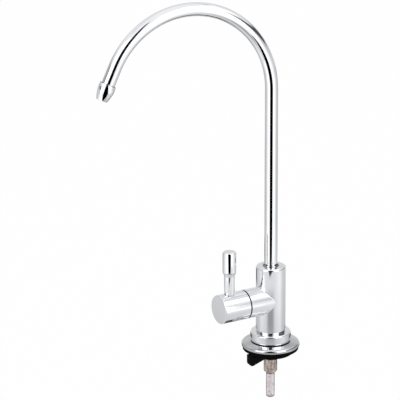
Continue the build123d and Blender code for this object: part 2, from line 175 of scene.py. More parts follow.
class Graph:
    """The nodes of one material or of the world."""

    def __init__(self, tree: bpy.types.NodeTree) -> None:
        """Starts from an empty tree."""
        self.tree = tree
        tree.nodes.clear()

    def node(
        self,
        kind: str,
        settings: Optional[Mapping[str, object]] = None,
        inputs: Optional[Mapping[Union[str, int], Value]] = None,
        output: Union[str, int] = 0,
    ) -> Signal:
        """Adds any node.

        Args:
            kind: The node's type.
            settings: Its settings, set before its sockets. Stops are a colour ramp's places and colours.
            inputs: Values or links for its sockets, by name or number.
            output: The output that is wanted.

        Returns:
            That output.
        """
        made = self.tree.nodes.new(kind)
        for key, value in (settings or {}).items():
            if key == "stops":
                self.set_stops(made.color_ramp, value)
            else:
                setattr(made, key, value)
        for key, value in (inputs or {}).items():
            if isinstance(value, Signal):
                self.tree.links.new(value.socket, made.inputs[key])
            else:
                made.inputs[key].default_value = value
        return Signal(self, made.outputs[output])

    @staticmethod
    def set_stops(ramp: bpy.types.ColorRamp, stops: Sequence[tuple[float, Colour]]) -> None:
        """Gives a colour ramp its places and colours.

        Args:
            ramp: The ramp, which is new.
            stops: Each place, from 0 to 1, with its colour.
        """
        while len(ramp.elements) < len(stops):
            ramp.elements.new(1.0)
        for element, (place, colour) in zip(ramp.elements, stops):
            element.position = place
            element.color = (*colour, 1.0)

    def point(self) -> Signal:
        """The place on the piece, in metres in its own frame."""
        return self.node("ShaderNodeTexCoord", output="Object")

    def axis_parts(self, vector: Signal) -> tuple[Signal, Signal, Signal]:
        """The three parts of a vector.

        Args:
            vector: The vector.

        Returns:
            What it measures along X, Y and Z.
        """
        first = self.node("ShaderNodeSeparateXYZ", inputs={0: vector})
        outputs = first.socket.node.outputs
        return first, Signal(self, outputs[1]), Signal(self, outputs[2])

    def shifted(self, vector: Signal, place: Colour, scale: Colour = (1.0, 1.0, 1.0)) -> Signal:
        """The vector moved and stretched by a Mapping node."""
        return self.node("ShaderNodeMapping", inputs={"Vector": vector, "Location": place, "Scale": scale})

    def noise(self, vector: Signal, grain: float, detail: float = 3.0, rough: float = 0.55) -> Signal:
        """Cloudy noise.

        Args:
            vector: Where it is read.
            grain: The size of its features in millimetres.
            detail: How many finer layers it has.
            rough: How strong the finer layers are.

        Returns:
            A signal round 0.5.
        """
        return self.node(
            "ShaderNodeTexNoise",
            inputs={"Vector": vector, "Scale": 1.0 / (grain * MM), "Detail": detail, "Roughness": rough},
        )

    def cells(self, vector: Signal, grain: float) -> Signal:
        """The distance to the nearest of scattered points, with cells of a size in millimetres."""
        return self.node("ShaderNodeTexVoronoi", inputs={"Vector": vector, "Scale": 1.0 / (grain * MM)})

    def mixed(self, share: Value, first: Value, second: Value) -> Signal:
        """A colour between two others.

        Args:
            share: How much of the second colour there is.
            first: The colour at 0.
            second: The colour at 1.

        Returns:
            The mixed colour.
        """
        ends = [(*end, 1.0) if isinstance(end, tuple) else end for end in (first, second)]
        return self.node("ShaderNodeMix", {"data_type": "RGBA"}, {0: share, 6: ends[0], 7: ends[1]}, output=2)

    def bumped(self, height: Signal, depth: float, below: Optional[Signal] = None) -> Signal:
        """A surface normal from a height.

        Args:
            height: The height signal.
            depth: What a height of 1 stands for, in millimetres.
            below: A normal that this one is laid over.

        Returns:
            The normal.
        """
        inputs: dict[Union[str, int], Value] = {"Height": height, "Distance": depth * MM, "Strength": 1.0}
        if below is not None:
            inputs["Normal"] = below
        return self.node("ShaderNodeBump", inputs=inputs)

    def greys(self, share: Signal, stops: Mapping[float, float], span: float) -> Signal:
        """Grey levels along a scale.

        Args:
            share: Where on the scale, from 0 to 1.
            stops: The grey level at each place of the scale.
            span: The place that stands for 1.

        Returns:
            The level as a colour.
        """
        ramp = [(place / span, grey(level)) for place, level in stops.items()]
        return self.node("ShaderNodeValToRGB", {"stops": ramp}, {0: share})

    def bearing(self, facing: float) -> Signal:
        """The angle round Z from a direction, to either side, as a share of a half turn.

        Args:
            facing: The direction that counts as 0, in degrees.

        Returns:
            A signal from 0 to 1.
        """
        across, along, _ = self.axis_parts(self.point())
        cosine, sine = math.cos(math.radians(facing)), math.sin(math.radians(facing))
        toward = across * cosine + along * sine
        aside = along * cosine - across * sine
        return self.node("ShaderNodeMath", {"operation": "ARCTAN2"}, {0: aside, 1: toward}).size() / math.pi

    def surface(self, **inputs: Value) -> None:
        """Ends the graph in one Principled surface, whose sockets are named with underscores."""
        named = {key.replace("_", " "): value for key, value in inputs.items()}
        self.output(self.node("ShaderNodeBsdfPrincipled", inputs=named))

    def glow(self, tone: Value) -> Signal:
        """An emission shader of full strength."""
        return self.node("ShaderNodeEmission", inputs={"Color": tone, "Strength": 1.0})

    def output(self, shader: Signal, kind: str = "ShaderNodeOutputMaterial") -> None:
        """Links a shader to the graph's output."""
        end = self.tree.nodes.new(kind)
        self.tree.links.new(shader.socket, end.inputs["Surface"])


# Finishes


@dataclass(frozen=True)
class Seam:
    """A flat joint along which shade is painted into the colour, by its direction and its place along that.

    Place and reach are in millimetres, and the reach is half the width of the painted dark line. The core is
    the share of the reach that is dark all through.
    """

    axis: Colour
    place: float
    reach: float = 0.3
    depth: float = 0.9
    core: float = 0.4

    def away(self, graph: Graph, point: Signal) -> Signal:
        """The distance from the joint, in metres.

        Args:
            graph: The material's nodes.
            point: The place on the piece.

        Returns:
            The distance.
        """
        inputs = {0: point, 1: self.axis}
        along = graph.node("ShaderNodeVectorMath", {"operation": "DOT_PRODUCT"}, inputs, output=1)
        return (along - self.place * MM).size()

    def shadow(self, graph: Graph, point: Signal) -> Signal:
        """How much painted shade darkens the surface, from 0 to 1."""
        unshaded = self.away(graph, point).between(self.reach * self.core * MM, self.reach * MM)
        return (1.0 - unshaded) * self.depth


@dataclass(frozen=True)
class RoundSeam(Seam):
    """A joint on a cylinder: its axis runs along X at a height, and the place is its radius."""

    height: float = 0.0

    def away(self, graph: Graph, point: Signal) -> Signal:
        """The distance from the joint, in metres.

        Args:
            graph: The material's nodes.
            point: The place on the piece.

        Returns:
            The distance.
        """
        _, aside, up = graph.axis_parts(point)
        rise = up - self.height * MM
        return ((aside * aside + rise * rise) ** 0.5 - self.place * MM).size()


@dataclass(frozen=True)
class Finish:
    """A finish that makes one material, named for the parts that wear it."""

    name: str
    colour: Colour
    roughness: float = 0.5
    start: Colour = (0.0, 0.0, 0.0)

    def material(self) -> bpy.types.Material:
        """The material of this finish, made once.

        Returns:
            The material.
        """
        found = bpy.data.materials.get(self.name)
        if found is None:
            found = bpy.data.materials.new(self.name)
            found.use_nodes = True
            self.dress(Graph(found.node_tree))
            found.diffuse_color = (*self.colour, 1.0)
        return found

    def dress(self, graph: Graph) -> None:
        """Builds the material's nodes."""
        raise NotImplementedError

    def streaks(
        self, graph: Graph, point: Signal, scale: Colour, grain: float, detail: float, rough: float = 0.55
    ) -> Signal:
        """Noise that is drawn out in one direction.

        Args:
            graph: The material's nodes.
            point: The place on the piece.
            scale: How much finer it is along each axis.
            grain: The size of its features in millimetres.
            detail: How many finer layers it has.
            rough: How strong the finer layers are.

        Returns:
            A signal round 0.5.
        """
        stretched = graph.shifted(point, self.start, scale=scale)
        return graph.noise(stretched, grain=grain, detail=detail, rough=rough)

    def shade(self, factor: float) -> Colour:
        """The finish's colour, darker or lighter."""
        return tuple(min(1.0, part * factor) for part in self.colour)

    @staticmethod
    def shaded_along_joints(
        graph: Graph, point: Signal, seams: Sequence[Seam], tone: Signal, roughness: Signal
    ) -> tuple[Signal, Signal]:
        """Paints shade into a surface's colour along its joints, and dulls it there.

        Args:
            graph: The material's nodes.
            point: The place on the piece.
            seams: The joints along which shade is painted.
            tone: The colour without the painted shade.
            roughness: The roughness before the dulling.

        Returns:
            The colour with the painted shade, and the dulled roughness.
        """
        # Painted shade: each joint darkens the colour towards near black and makes the surface rougher
        for seam in seams:
            shadow = seam.shadow(graph, point)
            tone = graph.mixed(shadow, tone, JOINT_SHADE)
            roughness = roughness + shadow * JOINT_DULLING
        return tone, roughness


@dataclass(frozen=True)
class Chrome(Finish):
    """Bright plating over polished brass, with faint clouds, dried drops, polishing marks and shade painted
    along its joints.
    """

    roughness: float = 0.035
    haze: float = 0.03
    drops: float = 0.05
    peel: float = 0.0012
    marks: float = 0.0
    cloud: float = 0.965
    seams: tuple[Seam, ...] = ()

    def dress(self, graph: Graph) -> None:
        """Builds the material's nodes.

        Args:
            graph: The material's nodes.
        """
        point = graph.point()
        place = graph.shifted(point, self.start)
        clouds = graph.noise(place, grain=9.0, detail=4.0)
        wipes = self.streaks(graph, place, (1.0, 1.0, 0.18), grain=2.2, detail=2.0)
        rings = graph.cells(place, grain=4.5)
        drops = 1.0 - rings.between(0.16, 0.24)
        inner = 1.0 - rings.between(0.08, 0.15)
        dried = (drops - inner) * clouds.between(0.55, 0.72)
        roughness = self.roughness + self.haze * clouds.between(0.35, 0.75) + dried * self.drops
        roughness = roughness + wipes.between(0.55, 0.8) * self.haze * 0.6
        patches = graph.noise(place, grain=14.0, detail=2.0).between(0.3, 0.7)
        tone = graph.mixed(patches, self.colour, self.shade(self.cloud))
        tone, roughness = self.shaded_along_joints(graph, point, self.seams, tone, roughness)
        normal = graph.bumped(graph.noise(place, grain=3.2, detail=2.0), depth=self.peel)
        if self.marks:
            fine = self.streaks(graph, place, (1.0, 1.0, 0.05), grain=0.35, detail=1.0)
            normal = graph.bumped(fine, depth=self.marks, below=normal)
        graph.surface(Base_Color=tone, Metallic=1.0, Roughness=roughness, Normal=normal)


@dataclass(frozen=True)
class ThreadNickel(Finish):
    """Dull nickel over brass, tan and mottled, with dark dirt at the roots of the thread and painted shade
    where the shank ends.
    """

    roughness: float = 0.1
    root_r: float = THREAD_ROOT_R
    crest_r: float = THREAD_CREST_R
    stain: Colour = (0.44, 0.36, 0.34)
    # Painted shade where the shank's point meets the inlet stub
    seams: tuple[Seam, ...] = (Seam(UPWARD, SHANK_END, reach=0.6, depth=0.75),)

    def dress(self, graph: Graph) -> None:
        """Builds the material's nodes.

        Args:
            graph: The material's nodes.
        """
        point = graph.point()
        across, along, _ = graph.axis_parts(point)
        radius = (across * across + along * along) ** 0.5
        depth = 1.0 - radius.between(self.root_r * MM, self.crest_r * MM)
        blotches = self.streaks(graph, point, (1.0, 1.0, 0.35), grain=1.9, detail=4.0, rough=0.65)
        tone = graph.mixed(blotches.between(0.38, 0.62), self.shade(0.6), self.shade(1.3))
        tone = graph.mixed(depth * 0.5, tone, self.stain)
        roughness = self.roughness + blotches * 0.14 + depth * 0.08
        tone, roughness = self.shaded_along_joints(graph, point, self.seams, tone, roughness)
        normal = graph.bumped(graph.noise(point, grain=0.35, detail=2.0), depth=0.012)
        graph.surface(Base_Color=tone, Metallic=1.0, Roughness=roughness, Normal=normal)


@dataclass(frozen=True)
class StubNickel(Finish):
    """Pale satin nickel on the inlet pipe, with fine drawing lines, greyish pink blotches and painted shade
    at its top, where the shank ends.
    """

    roughness: float = 0.1
    blush: Colour = (0.72, 0.6, 0.62)
    # Painted shade at the top of the stub, where the shank's point meets it
    seams: tuple[Seam, ...] = (Seam(UPWARD, SHANK_END, reach=1.3, depth=0.7),)

    def dress(self, graph: Graph) -> None:
        """Builds the material's nodes.

        Args:
            graph: The material's nodes.
        """
        point = graph.point()
        blotches = graph.noise(graph.shifted(point, self.start), grain=2.0, detail=4.0, rough=0.7)
        lines = self.streaks(graph, point, (1.0, 1.0, 0.06), grain=0.25, detail=1.0)
        tone = graph.mixed(blotches.between(0.42, 0.62), self.shade(1.07), self.blush)
        tone = graph.mixed(lines.between(0.5, 0.75) * 0.3, tone, self.shade(1.12))
        roughness = self.roughness + blotches * 0.2
        tone, roughness = self.shaded_along_joints(graph, point, self.seams, tone, roughness)
        normal = graph.bumped(lines, depth=0.004, below=graph.bumped(blotches, depth=0.01))
        graph.surface(Base_Color=tone, Metallic=1.0, Roughness=roughness, Normal=normal)


@dataclass(frozen=True)
class Rubber(Finish):
    """Matt black rubber with a fine pebbled skin and pale dust."""

    roughness: float = 0.72
    dust: Colour = (0.012, 0.012, 0.0125)
    pebble: float = 0.02
    specular: float = 0.05

    def dress(self, graph: Graph) -> None:
        """Builds the material's nodes.

        Args:
            graph: The material's nodes.
        """
        point = graph.shifted(graph.point(), self.start)
        clouds = graph.noise(point, grain=5.0, detail=4.0)
        grains = graph.noise(point, grain=0.4, detail=2.0)
        tone = graph.mixed(clouds.between(0.5, 0.8) * 0.6, self.colour, self.dust)
        roughness = self.roughness + clouds * 0.12
        normal = graph.bumped(grains, depth=self.pebble)
        graph.surface(Base_Color=tone, Roughness=roughness, Normal=normal, Specular_IOR_Level=self.specular)


@dataclass(frozen=True)
class Moulded(Finish):
    """Moulded plastic with spark textured faces, small pale flecks and scuffs."""

    roughness: float = 0.5
    fleck: Colour = (0.05, 0.05, 0.05)
    fleck_share: float = 0.6
    specular: float = 0.06

    def dress(self, graph: Graph) -> None:
        """Builds the material's nodes.

        Args:
            graph: The material's nodes.
        """
        point = graph.shifted(graph.point(), self.start)
        texture = graph.noise(point, grain=0.55, detail=3.0, rough=0.7)
        scuffs = self.streaks(graph, point, (1.0, 0.2, 1.0), grain=1.8, detail=3.0)
        flecks = 1.0 - graph.cells(point, grain=1.1).between(0.1, 0.2)
        tone = graph.mixed(scuffs.between(0.58, 0.8) * 0.2, self.colour, self.fleck)
        tone = graph.mixed(flecks * texture.between(0.5, 0.6) * self.fleck_share, tone, self.fleck)
        roughness = self.roughness + texture * 0.18 - scuffs.between(0.6, 0.8) * 0.12
        normal = graph.bumped(texture, depth=0.03)
        graph.surface(Base_Color=tone, Roughness=roughness, Normal=normal, Specular_IOR_Level=self.specular)


@dataclass(frozen=True)
class TurnedMetal(Finish):
    """Machined brass or steel, with fine turning lines and slight tarnish."""

    roughness: float = 0.24
    tarnish: Colour = (0.45, 0.32, 0.16)

    def dress(self, graph: Graph) -> None:
        """Builds the material's nodes.

        Args:
            graph: The material's nodes.
        """
        point = graph.shifted(graph.point(), self.start)
        lines = self.streaks(graph, point, (0.1, 0.1, 6.0), grain=1.2, detail=2.0)
        clouds = graph.noise(point, grain=3.5, detail=3.0)
        tone = graph.mixed(clouds.between(0.5, 0.8) * 0.5, self.colour, self.tarnish)
        roughness = self.roughness + lines * 0.14
        normal = graph.bumped(lines, depth=0.006)
        graph.surface(Base_Color=tone, Metallic=1.0, Roughness=roughness, Normal=normal)


@dataclass(frozen=True)
class Ceramic(Finish):
    """Lapped white ceramic with a faint grain."""

    roughness: float = 0.16

    def dress(self, graph: Graph) -> None:
        """Builds the material's nodes.

        Args:
            graph: The material's nodes.
        """
        point = graph.point()
        grain = graph.noise(point, grain=0.5, detail=3.0)
        clouds = graph.noise(point, grain=4.0, detail=2.0)
        tone = graph.mixed(clouds, self.colour, self.shade(0.93))
        roughness = self.roughness + grain * 0.1
        normal = graph.bumped(grain, depth=0.002)
        graph.surface(Base_Color=tone, Roughness=roughness, Normal=normal)


class Wear(Enum):
    """The finish of each material slot in the record."""

    chrome_column = Chrome(
        "chrome_column_plating", CHROME,
        # Painted shade along the branch's end and along the column's foot on the ring
        seams=(Seam(OUTWARD, BRANCH_END, reach=0.35), Seam(UPWARD, RING_TOP, reach=0.25, depth=0.6)),
    )
    chrome_ring = Chrome("chrome_ring_plating", CHROME, start=(0.31, 0.0, 0.1), marks=0.0004)
    chrome_plate = Chrome(
        "chrome_plate_plating", (0.65, 0.657, 0.68), roughness=0.09, start=(0.11, 0.4, 0.0),
        haze=0.08, peel=0.003, cloud=0.72,
    )
    chrome_tube = Chrome(
        "chrome_tube_plating", CHROME, start=(0.0, 0.7, 0.2), haze=0.02, peel=0.0005,
        # Painted shade round the foot of the tube, where it leaves the collar
        seams=(Seam(UPWARD, COLLAR_TOP, reach=0.4),),
    )
    chrome_nozzle = Chrome(
        "chrome_nozzle_plating", CHROME, start=(0.5, 0.2, 0.0),
        # Painted shade where the nozzle meets the tube
        seams=(Seam(NOZZLE_AXIS, NOZZLE_JOINT, reach=0.6, depth=0.75),),
    )
    chrome_collar = Chrome(
        "chrome_collar_plating", CHROME, start=(0.2, 0.2, 0.6),
        # Painted shade along the collar's lower and upper edges
        seams=(Seam(UPWARD, COLUMN_TOP, reach=0.3), Seam(UPWARD, COLLAR_TOP, reach=0.2)),
    )
    chrome_cap = Chrome(
        # Painted shade along the cap's inner end, where it meets the branch
        "chrome_cap_plating", CHROME, start=(0.9, 0.1, 0.3), seams=(Seam(OUTWARD, CAP_START, reach=0.35),)
    )
    chrome_lever = Chrome(
        "chrome_lever_plating", CHROME, start=(0.4, 0.9, 0.1),
        # Painted shade where the grip leaves the stem and where the rod enters the cap
        seams=(
            Seam(UPWARD, BRANCH_Z + GRIP_LOW, reach=0.3, depth=0.6),
            RoundSeam(OUTWARD, BRANCH_R, reach=0.4, height=BRANCH_Z),
        ),
    )
    seal_rubber = Rubber("ring_seal_rubber", BLACK)
    gasket_rubber = Rubber("gasket_rubber_black", BLACK, start=(0.2, 0.0, 0.1))
    inner_rubber = Rubber("inner_seal_rubber", (0.012, 0.012, 0.013), roughness=0.55, pebble=0.006)
    washer_plastic = Moulded("washer_plastic_black", BLACK, roughness=0.58)
    nut_plastic = Moulded("nut_plastic_black", BLACK, start=(0.3, 0.1, 0.7))
    # The glide ring's own dark plastic, made darker still so that the seam between branch and cap shows as
    # painted shade
    glide_plastic = Moulded("glide_ring_plastic", (0.015, 0.015, 0.016), roughness=0.4, fleck_share=0.1)
    # Painted shade: the bush is made near black so that it shows as the dark shade round the foot of the
    # spout
    bush_plastic = Moulded(
        "bush_black_painted_shade", (0.006, 0.006, 0.0065), start=(0.1, 0.5, 0.2), fleck_share=0.1
    )
    bearing_plastic = Moulded(
        "bearing_plastic_pale", (0.7, 0.7, 0.68), roughness=0.4, fleck=(0.55, 0.55, 0.52)
    )
    stream_plastic = Moulded(
        "stream_plastic_white", (0.78, 0.78, 0.76), roughness=0.4, fleck=(0.6, 0.6, 0.58)
    )
    nickel_shank = ThreadNickel("shank_nickel", (0.74, 0.64, 0.59))
    nickel_stub = StubNickel("stub_nickel", (0.93, 0.88, 0.9))
    turned_brass = TurnedMetal("machined_brass", (0.78, 0.62, 0.33))
    screw_steel = TurnedMetal("screw_steel_turned", (0.5, 0.51, 0.52), tarnish=(0.3, 0.3, 0.31))
    white_ceramic = Ceramic("lapped_ceramic", (0.9, 0.89, 0.86))


# Shaping


Edges = list[bmesh.types.BMEdge]
Parts = Union[Edges, list[bmesh.types.BMVert]]


def in_scene(name: str, data: bpy.types.ID) -> bpy.types.Object:
    """A new object in the scene, from a mesh, lamp or camera.

    Args:
        name: Its name.
        data: Its mesh, lamp or camera.

    Returns:
        The object.
    """
    thing = bpy.data.objects.new(name, data)
    bpy.context.scene.collection.objects.link(thing)
    return thing


def branch_matrix(height: float) -> Matrix:
    """The frame of the side branch at a height in millimetres: its Z runs outwards along -X."""
    return Matrix.Translation((0, 0, height)) @ Matrix.Rotation(math.radians(-90), 4, "Y")


def arc_corners(first: Corner, middle: Corner, last: Corner, steps: int) -> list[Corner]:
    """Corners along the circle through three, without the first of them.

    Args:
        first: Where the arc starts.
        middle: A corner that it passes.
        last: Where it ends.
        steps: How many pieces the arc has.

    Returns:
        The corners after the first.
    """
    a, b, c = (Vector((corner.radius, corner.height)) for corner in (first, middle, last))
    size_a, size_b, size_c = a.length_squared, b.length_squared, c.length_squared
    span = 2 * (a.x * (b.y - c.y) + b.x * (c.y - a.y) + c.x * (a.y - b.y))
    centre = Vector((
        (size_a * (b.y - c.y) + size_b * (c.y - a.y) + size_c * (a.y - b.y)) / span,
        (size_a * (c.x - b.x) + size_b * (a.x - c.x) + size_c * (b.x - a.x)) / span,
    ))
    start, end = a - centre, c - centre
    angle = start.angle_signed(end)
    corners = []
    for step in range(1, steps + 1):
        turn = Matrix.Rotation(-angle * step / steps, 2)
        spot = centre + turn @ start
        corners.append(Corner(spot.x, spot.y))
    return corners


class Form:
    """A closed mesh being shaped, in millimetres."""

    def __init__(self) -> None:
        """Starts with nothing."""
        self.mesh = bmesh.new()

    def bevelled(self, parts: Parts, offset: float, segments: int, affect: str) -> None:
        """Rounds corners or edges.

        Args:
            parts: The corners or edges.
            offset: How far the rounding reaches.
            segments: How many pieces it has.
            affect: What it works on, VERTICES or EDGES.
        """
        bmesh.ops.bevel(
            self.mesh, geom=parts, offset=offset, offset_type="OFFSET", segments=segments, profile=0.5,
            affect=affect, material=-1,
        )

    @classmethod
    def turned(
        cls, corners: Sequence[Corner], closed: bool = False, steps: int = MEDIUM, arcs: int = 6
    ) -> "Form":
        """A solid of revolution round Z.

        Args:
            corners: The outline, from axis to axis, or all round where it is closed.
            closed: Whether the outline's last corner joins its first.
            steps: How many facets go round.
            arcs: How many pieces a rounded corner has.

        Returns:
            The form.
        """
        form = cls()
        mesh = form.mesh
        verts = [mesh.verts.new((corner.radius, 0, corner.height)) for corner in corners]
        for pair in list(zip(verts, verts[1:])) + ([(verts[-1], verts[0])] if closed else []):
            mesh.edges.new(pair)
        for vert, corner in zip(verts, corners):
            if corner.rounding:
                form.bevelled([vert], offset=corner.rounding, segments=arcs, affect="VERTICES")
        bmesh.ops.spin(
            mesh, geom=mesh.verts[:] + mesh.edges[:], cent=(0, 0, 0), axis=(0, 0, 1), angle=math.tau,
            steps=steps, use_merge=True,
        )
        return form

    def placed(self, matrix: Matrix) -> "Form":
        """The form, moved by a matrix."""
        bmesh.ops.transform(self.mesh, matrix=matrix, verts=self.mesh.verts[:])
        return self

    def joined(self, other: "Form") -> "Form":
        """The form with another form's mesh added.

        Args:
            other: The other form, which is freed.

        Returns:
            This form.
        """
        carrier = bpy.data.meshes.new("carrier")
        other.mesh.to_mesh(carrier)
        other.mesh.free()
        self.mesh.from_mesh(carrier)
        bpy.data.meshes.remove(carrier)
        return self

    def carried_on(self, edges: Edges, place: Callable[[Vector], Vector]) -> Edges:
        """Extrudes a loop of edges and puts its new corners in place.

        Args:
            edges: The loop.
            place: Gives a corner's new place from its old one.

        Returns:
            The new loop.
        """
        made = bmesh.ops.extrude_edge_only(self.mesh, edges=edges)["geom"]
        fresh = {part for part in made if isinstance(part, bmesh.types.BMVert)}
        for vert in fresh:
            vert.co = place(vert.co)
        edges = (part for part in made if isinstance(part, bmesh.types.BMEdge))
        return [edge for edge in edges if fresh.issuperset(edge.verts)]

    def piece(self, name: str, wear: Wear, body: str, nodes: Sequence[str], crease: float = 32.0) -> None:
        """Finishes the mesh and puts it in the scene in place of its CAD nodes.

        Args:
            name: The piece's name.
            wear: Its finish, which is named as its material slot.
            body: The CAD body that it rides on.
            nodes: The CAD nodes that it stands for.
            crease: Edges sharper than this angle stay sharp, in degrees.
        """
        bmesh.ops.remove_doubles(self.mesh, verts=self.mesh.verts[:], dist=MERGE)
        bmesh.ops.recalc_face_normals(self.mesh, faces=self.mesh.faces[:])
        bmesh.ops.scale(self.mesh, vec=(MM, MM, MM), verts=self.mesh.verts[:])
        for face in self.mesh.faces:
            face.smooth = True
        open_edges = sum(1 for edge in self.mesh.edges if len(edge.link_faces) != 2)
        made = bpy.data.meshes.new(name)
        self.mesh.to_mesh(made)
        self.mesh.free()
        made.set_sharp_from_angle(angle=math.radians(crease))
        made.materials.append(wear.value.material())
        thing = in_scene(name, made)
        thing.modifiers.new("even_light", "WEIGHTED_NORMAL").keep_sharp = True
        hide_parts(*nodes)
        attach(thing, body)
        log.info("piece %s: %d faces, %d open edges", name, len(made.polygons), open_edges)


def dress_nodes(wear: Wear, *nodes: str) -> None:
    """Gives CAD nodes that stay in the scene their finish.

    Args:
        wear: The finish, which is named as the material slot.
        nodes: The names of the nodes.
    """
    for node in nodes:
        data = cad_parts[node].data
        data.materials.clear()
        data.materials.append(wear.value.material())
        log.info("node %s wears %s", node, wear.name)


# Sub-assemblies


@dataclass
class CoverPlate:
    """The rubber gasket on the deck, the pressed cover over it and the black ring on top."""

    bore_r: float = 5.85
    gasket_r: float = 22.65
    gasket_h: float = 3.1
    boss_r: float = 21.2
    boss_top: float = 5.1
    groove_low_r: float = 11.0
    groove_high_r: float = 20.4
    groove_depth: float = 0.5
    plate_r: float = 23.5
    crown_r: float = 17.4
    crown_z: float = 7.2
    shoulder_r: float = 21.2
    shoulder_z: float = 6.5
    lip_z: float = 4.2
    seal_r: float = 16.1
    seal_inner_r: float = 11.1
    seal_top: float = 7.9

    def gasket(self) -> Form:
        """The gasket, with a sealing groove below and a boss that fills the cover.

        Returns:
            Its form.
        """
        slope = self.groove_depth
        return Form.turned([
            Corner(self.bore_r, 0.0), Corner(self.groove_low_r, 0.0, 0.15),
            Corner(self.groove_low_r + slope, self.groove_depth, 0.15),
            Corner(self.groove_high_r - slope, self.groove_depth, 0.15),
            Corner(self.groove_high_r, 0.0, 0.15), Corner(self.gasket_r, 0.0, 0.45),
            Corner(self.gasket_r, self.gasket_h, 0.3), Corner(self.boss_r, self.gasket_h),
            Corner(self.boss_r, self.boss_top, 1.2), Corner(self.bore_r, self.boss_top),
        ], closed=True)

    def cover(self) -> Form:
        """The cover plate: lip, rounded edge and a gently rising top.

        Returns:
            Its form.
        """
        edge_r, half_way = self.plate_r - self.shoulder_r, math.radians(45)
        bend = Corner(self.shoulder_r + edge_r * math.cos(half_way), self.lip_z + edge_r * math.sin(half_way))
        shoulder = Corner(self.shoulder_r, self.shoulder_z)
        rim = arc_corners(shoulder, bend, Corner(self.plate_r, self.lip_z), steps=10)
        inner_r, inner_top = self.boss_r + FIT, self.boss_top + FIT
        return Form.turned([
            Corner(self.bore_r, self.crown_z), Corner(self.crown_r, self.crown_z, 1.2),
            shoulder, *rim, Corner(self.plate_r, self.gasket_h, 0.3),
            Corner(inner_r, self.gasket_h, 0.2), Corner(inner_r, inner_top, 1.2),
            Corner(self.bore_r, inner_top),
        ], closed=True, steps=FINE)

    def seal(self) -> Form:
        """The black ring under the base ring, with its outer edge bulging a little.

        Returns:
            Its form.
        """
        return Form.turned([
            Corner(self.seal_inner_r, self.crown_z), Corner(self.seal_r, self.crown_z, 0.25),
            Corner(self.seal_r, self.seal_top, 0.25), Corner(self.seal_inner_r, self.seal_top),
        ], closed=True)

    def build(self) -> None:
        """Makes and dresses the pieces."""
        self.gasket().piece("deck_gasket", Wear.gasket_rubber, "tap_body", ["base_gasket"])
        self.cover().piece("cover_plate", Wear.chrome_plate, "tap_body", ["escutcheon_plate"])
        self.seal().piece("black_ring", Wear.seal_rubber, "tap_body", ["ring_seal"])


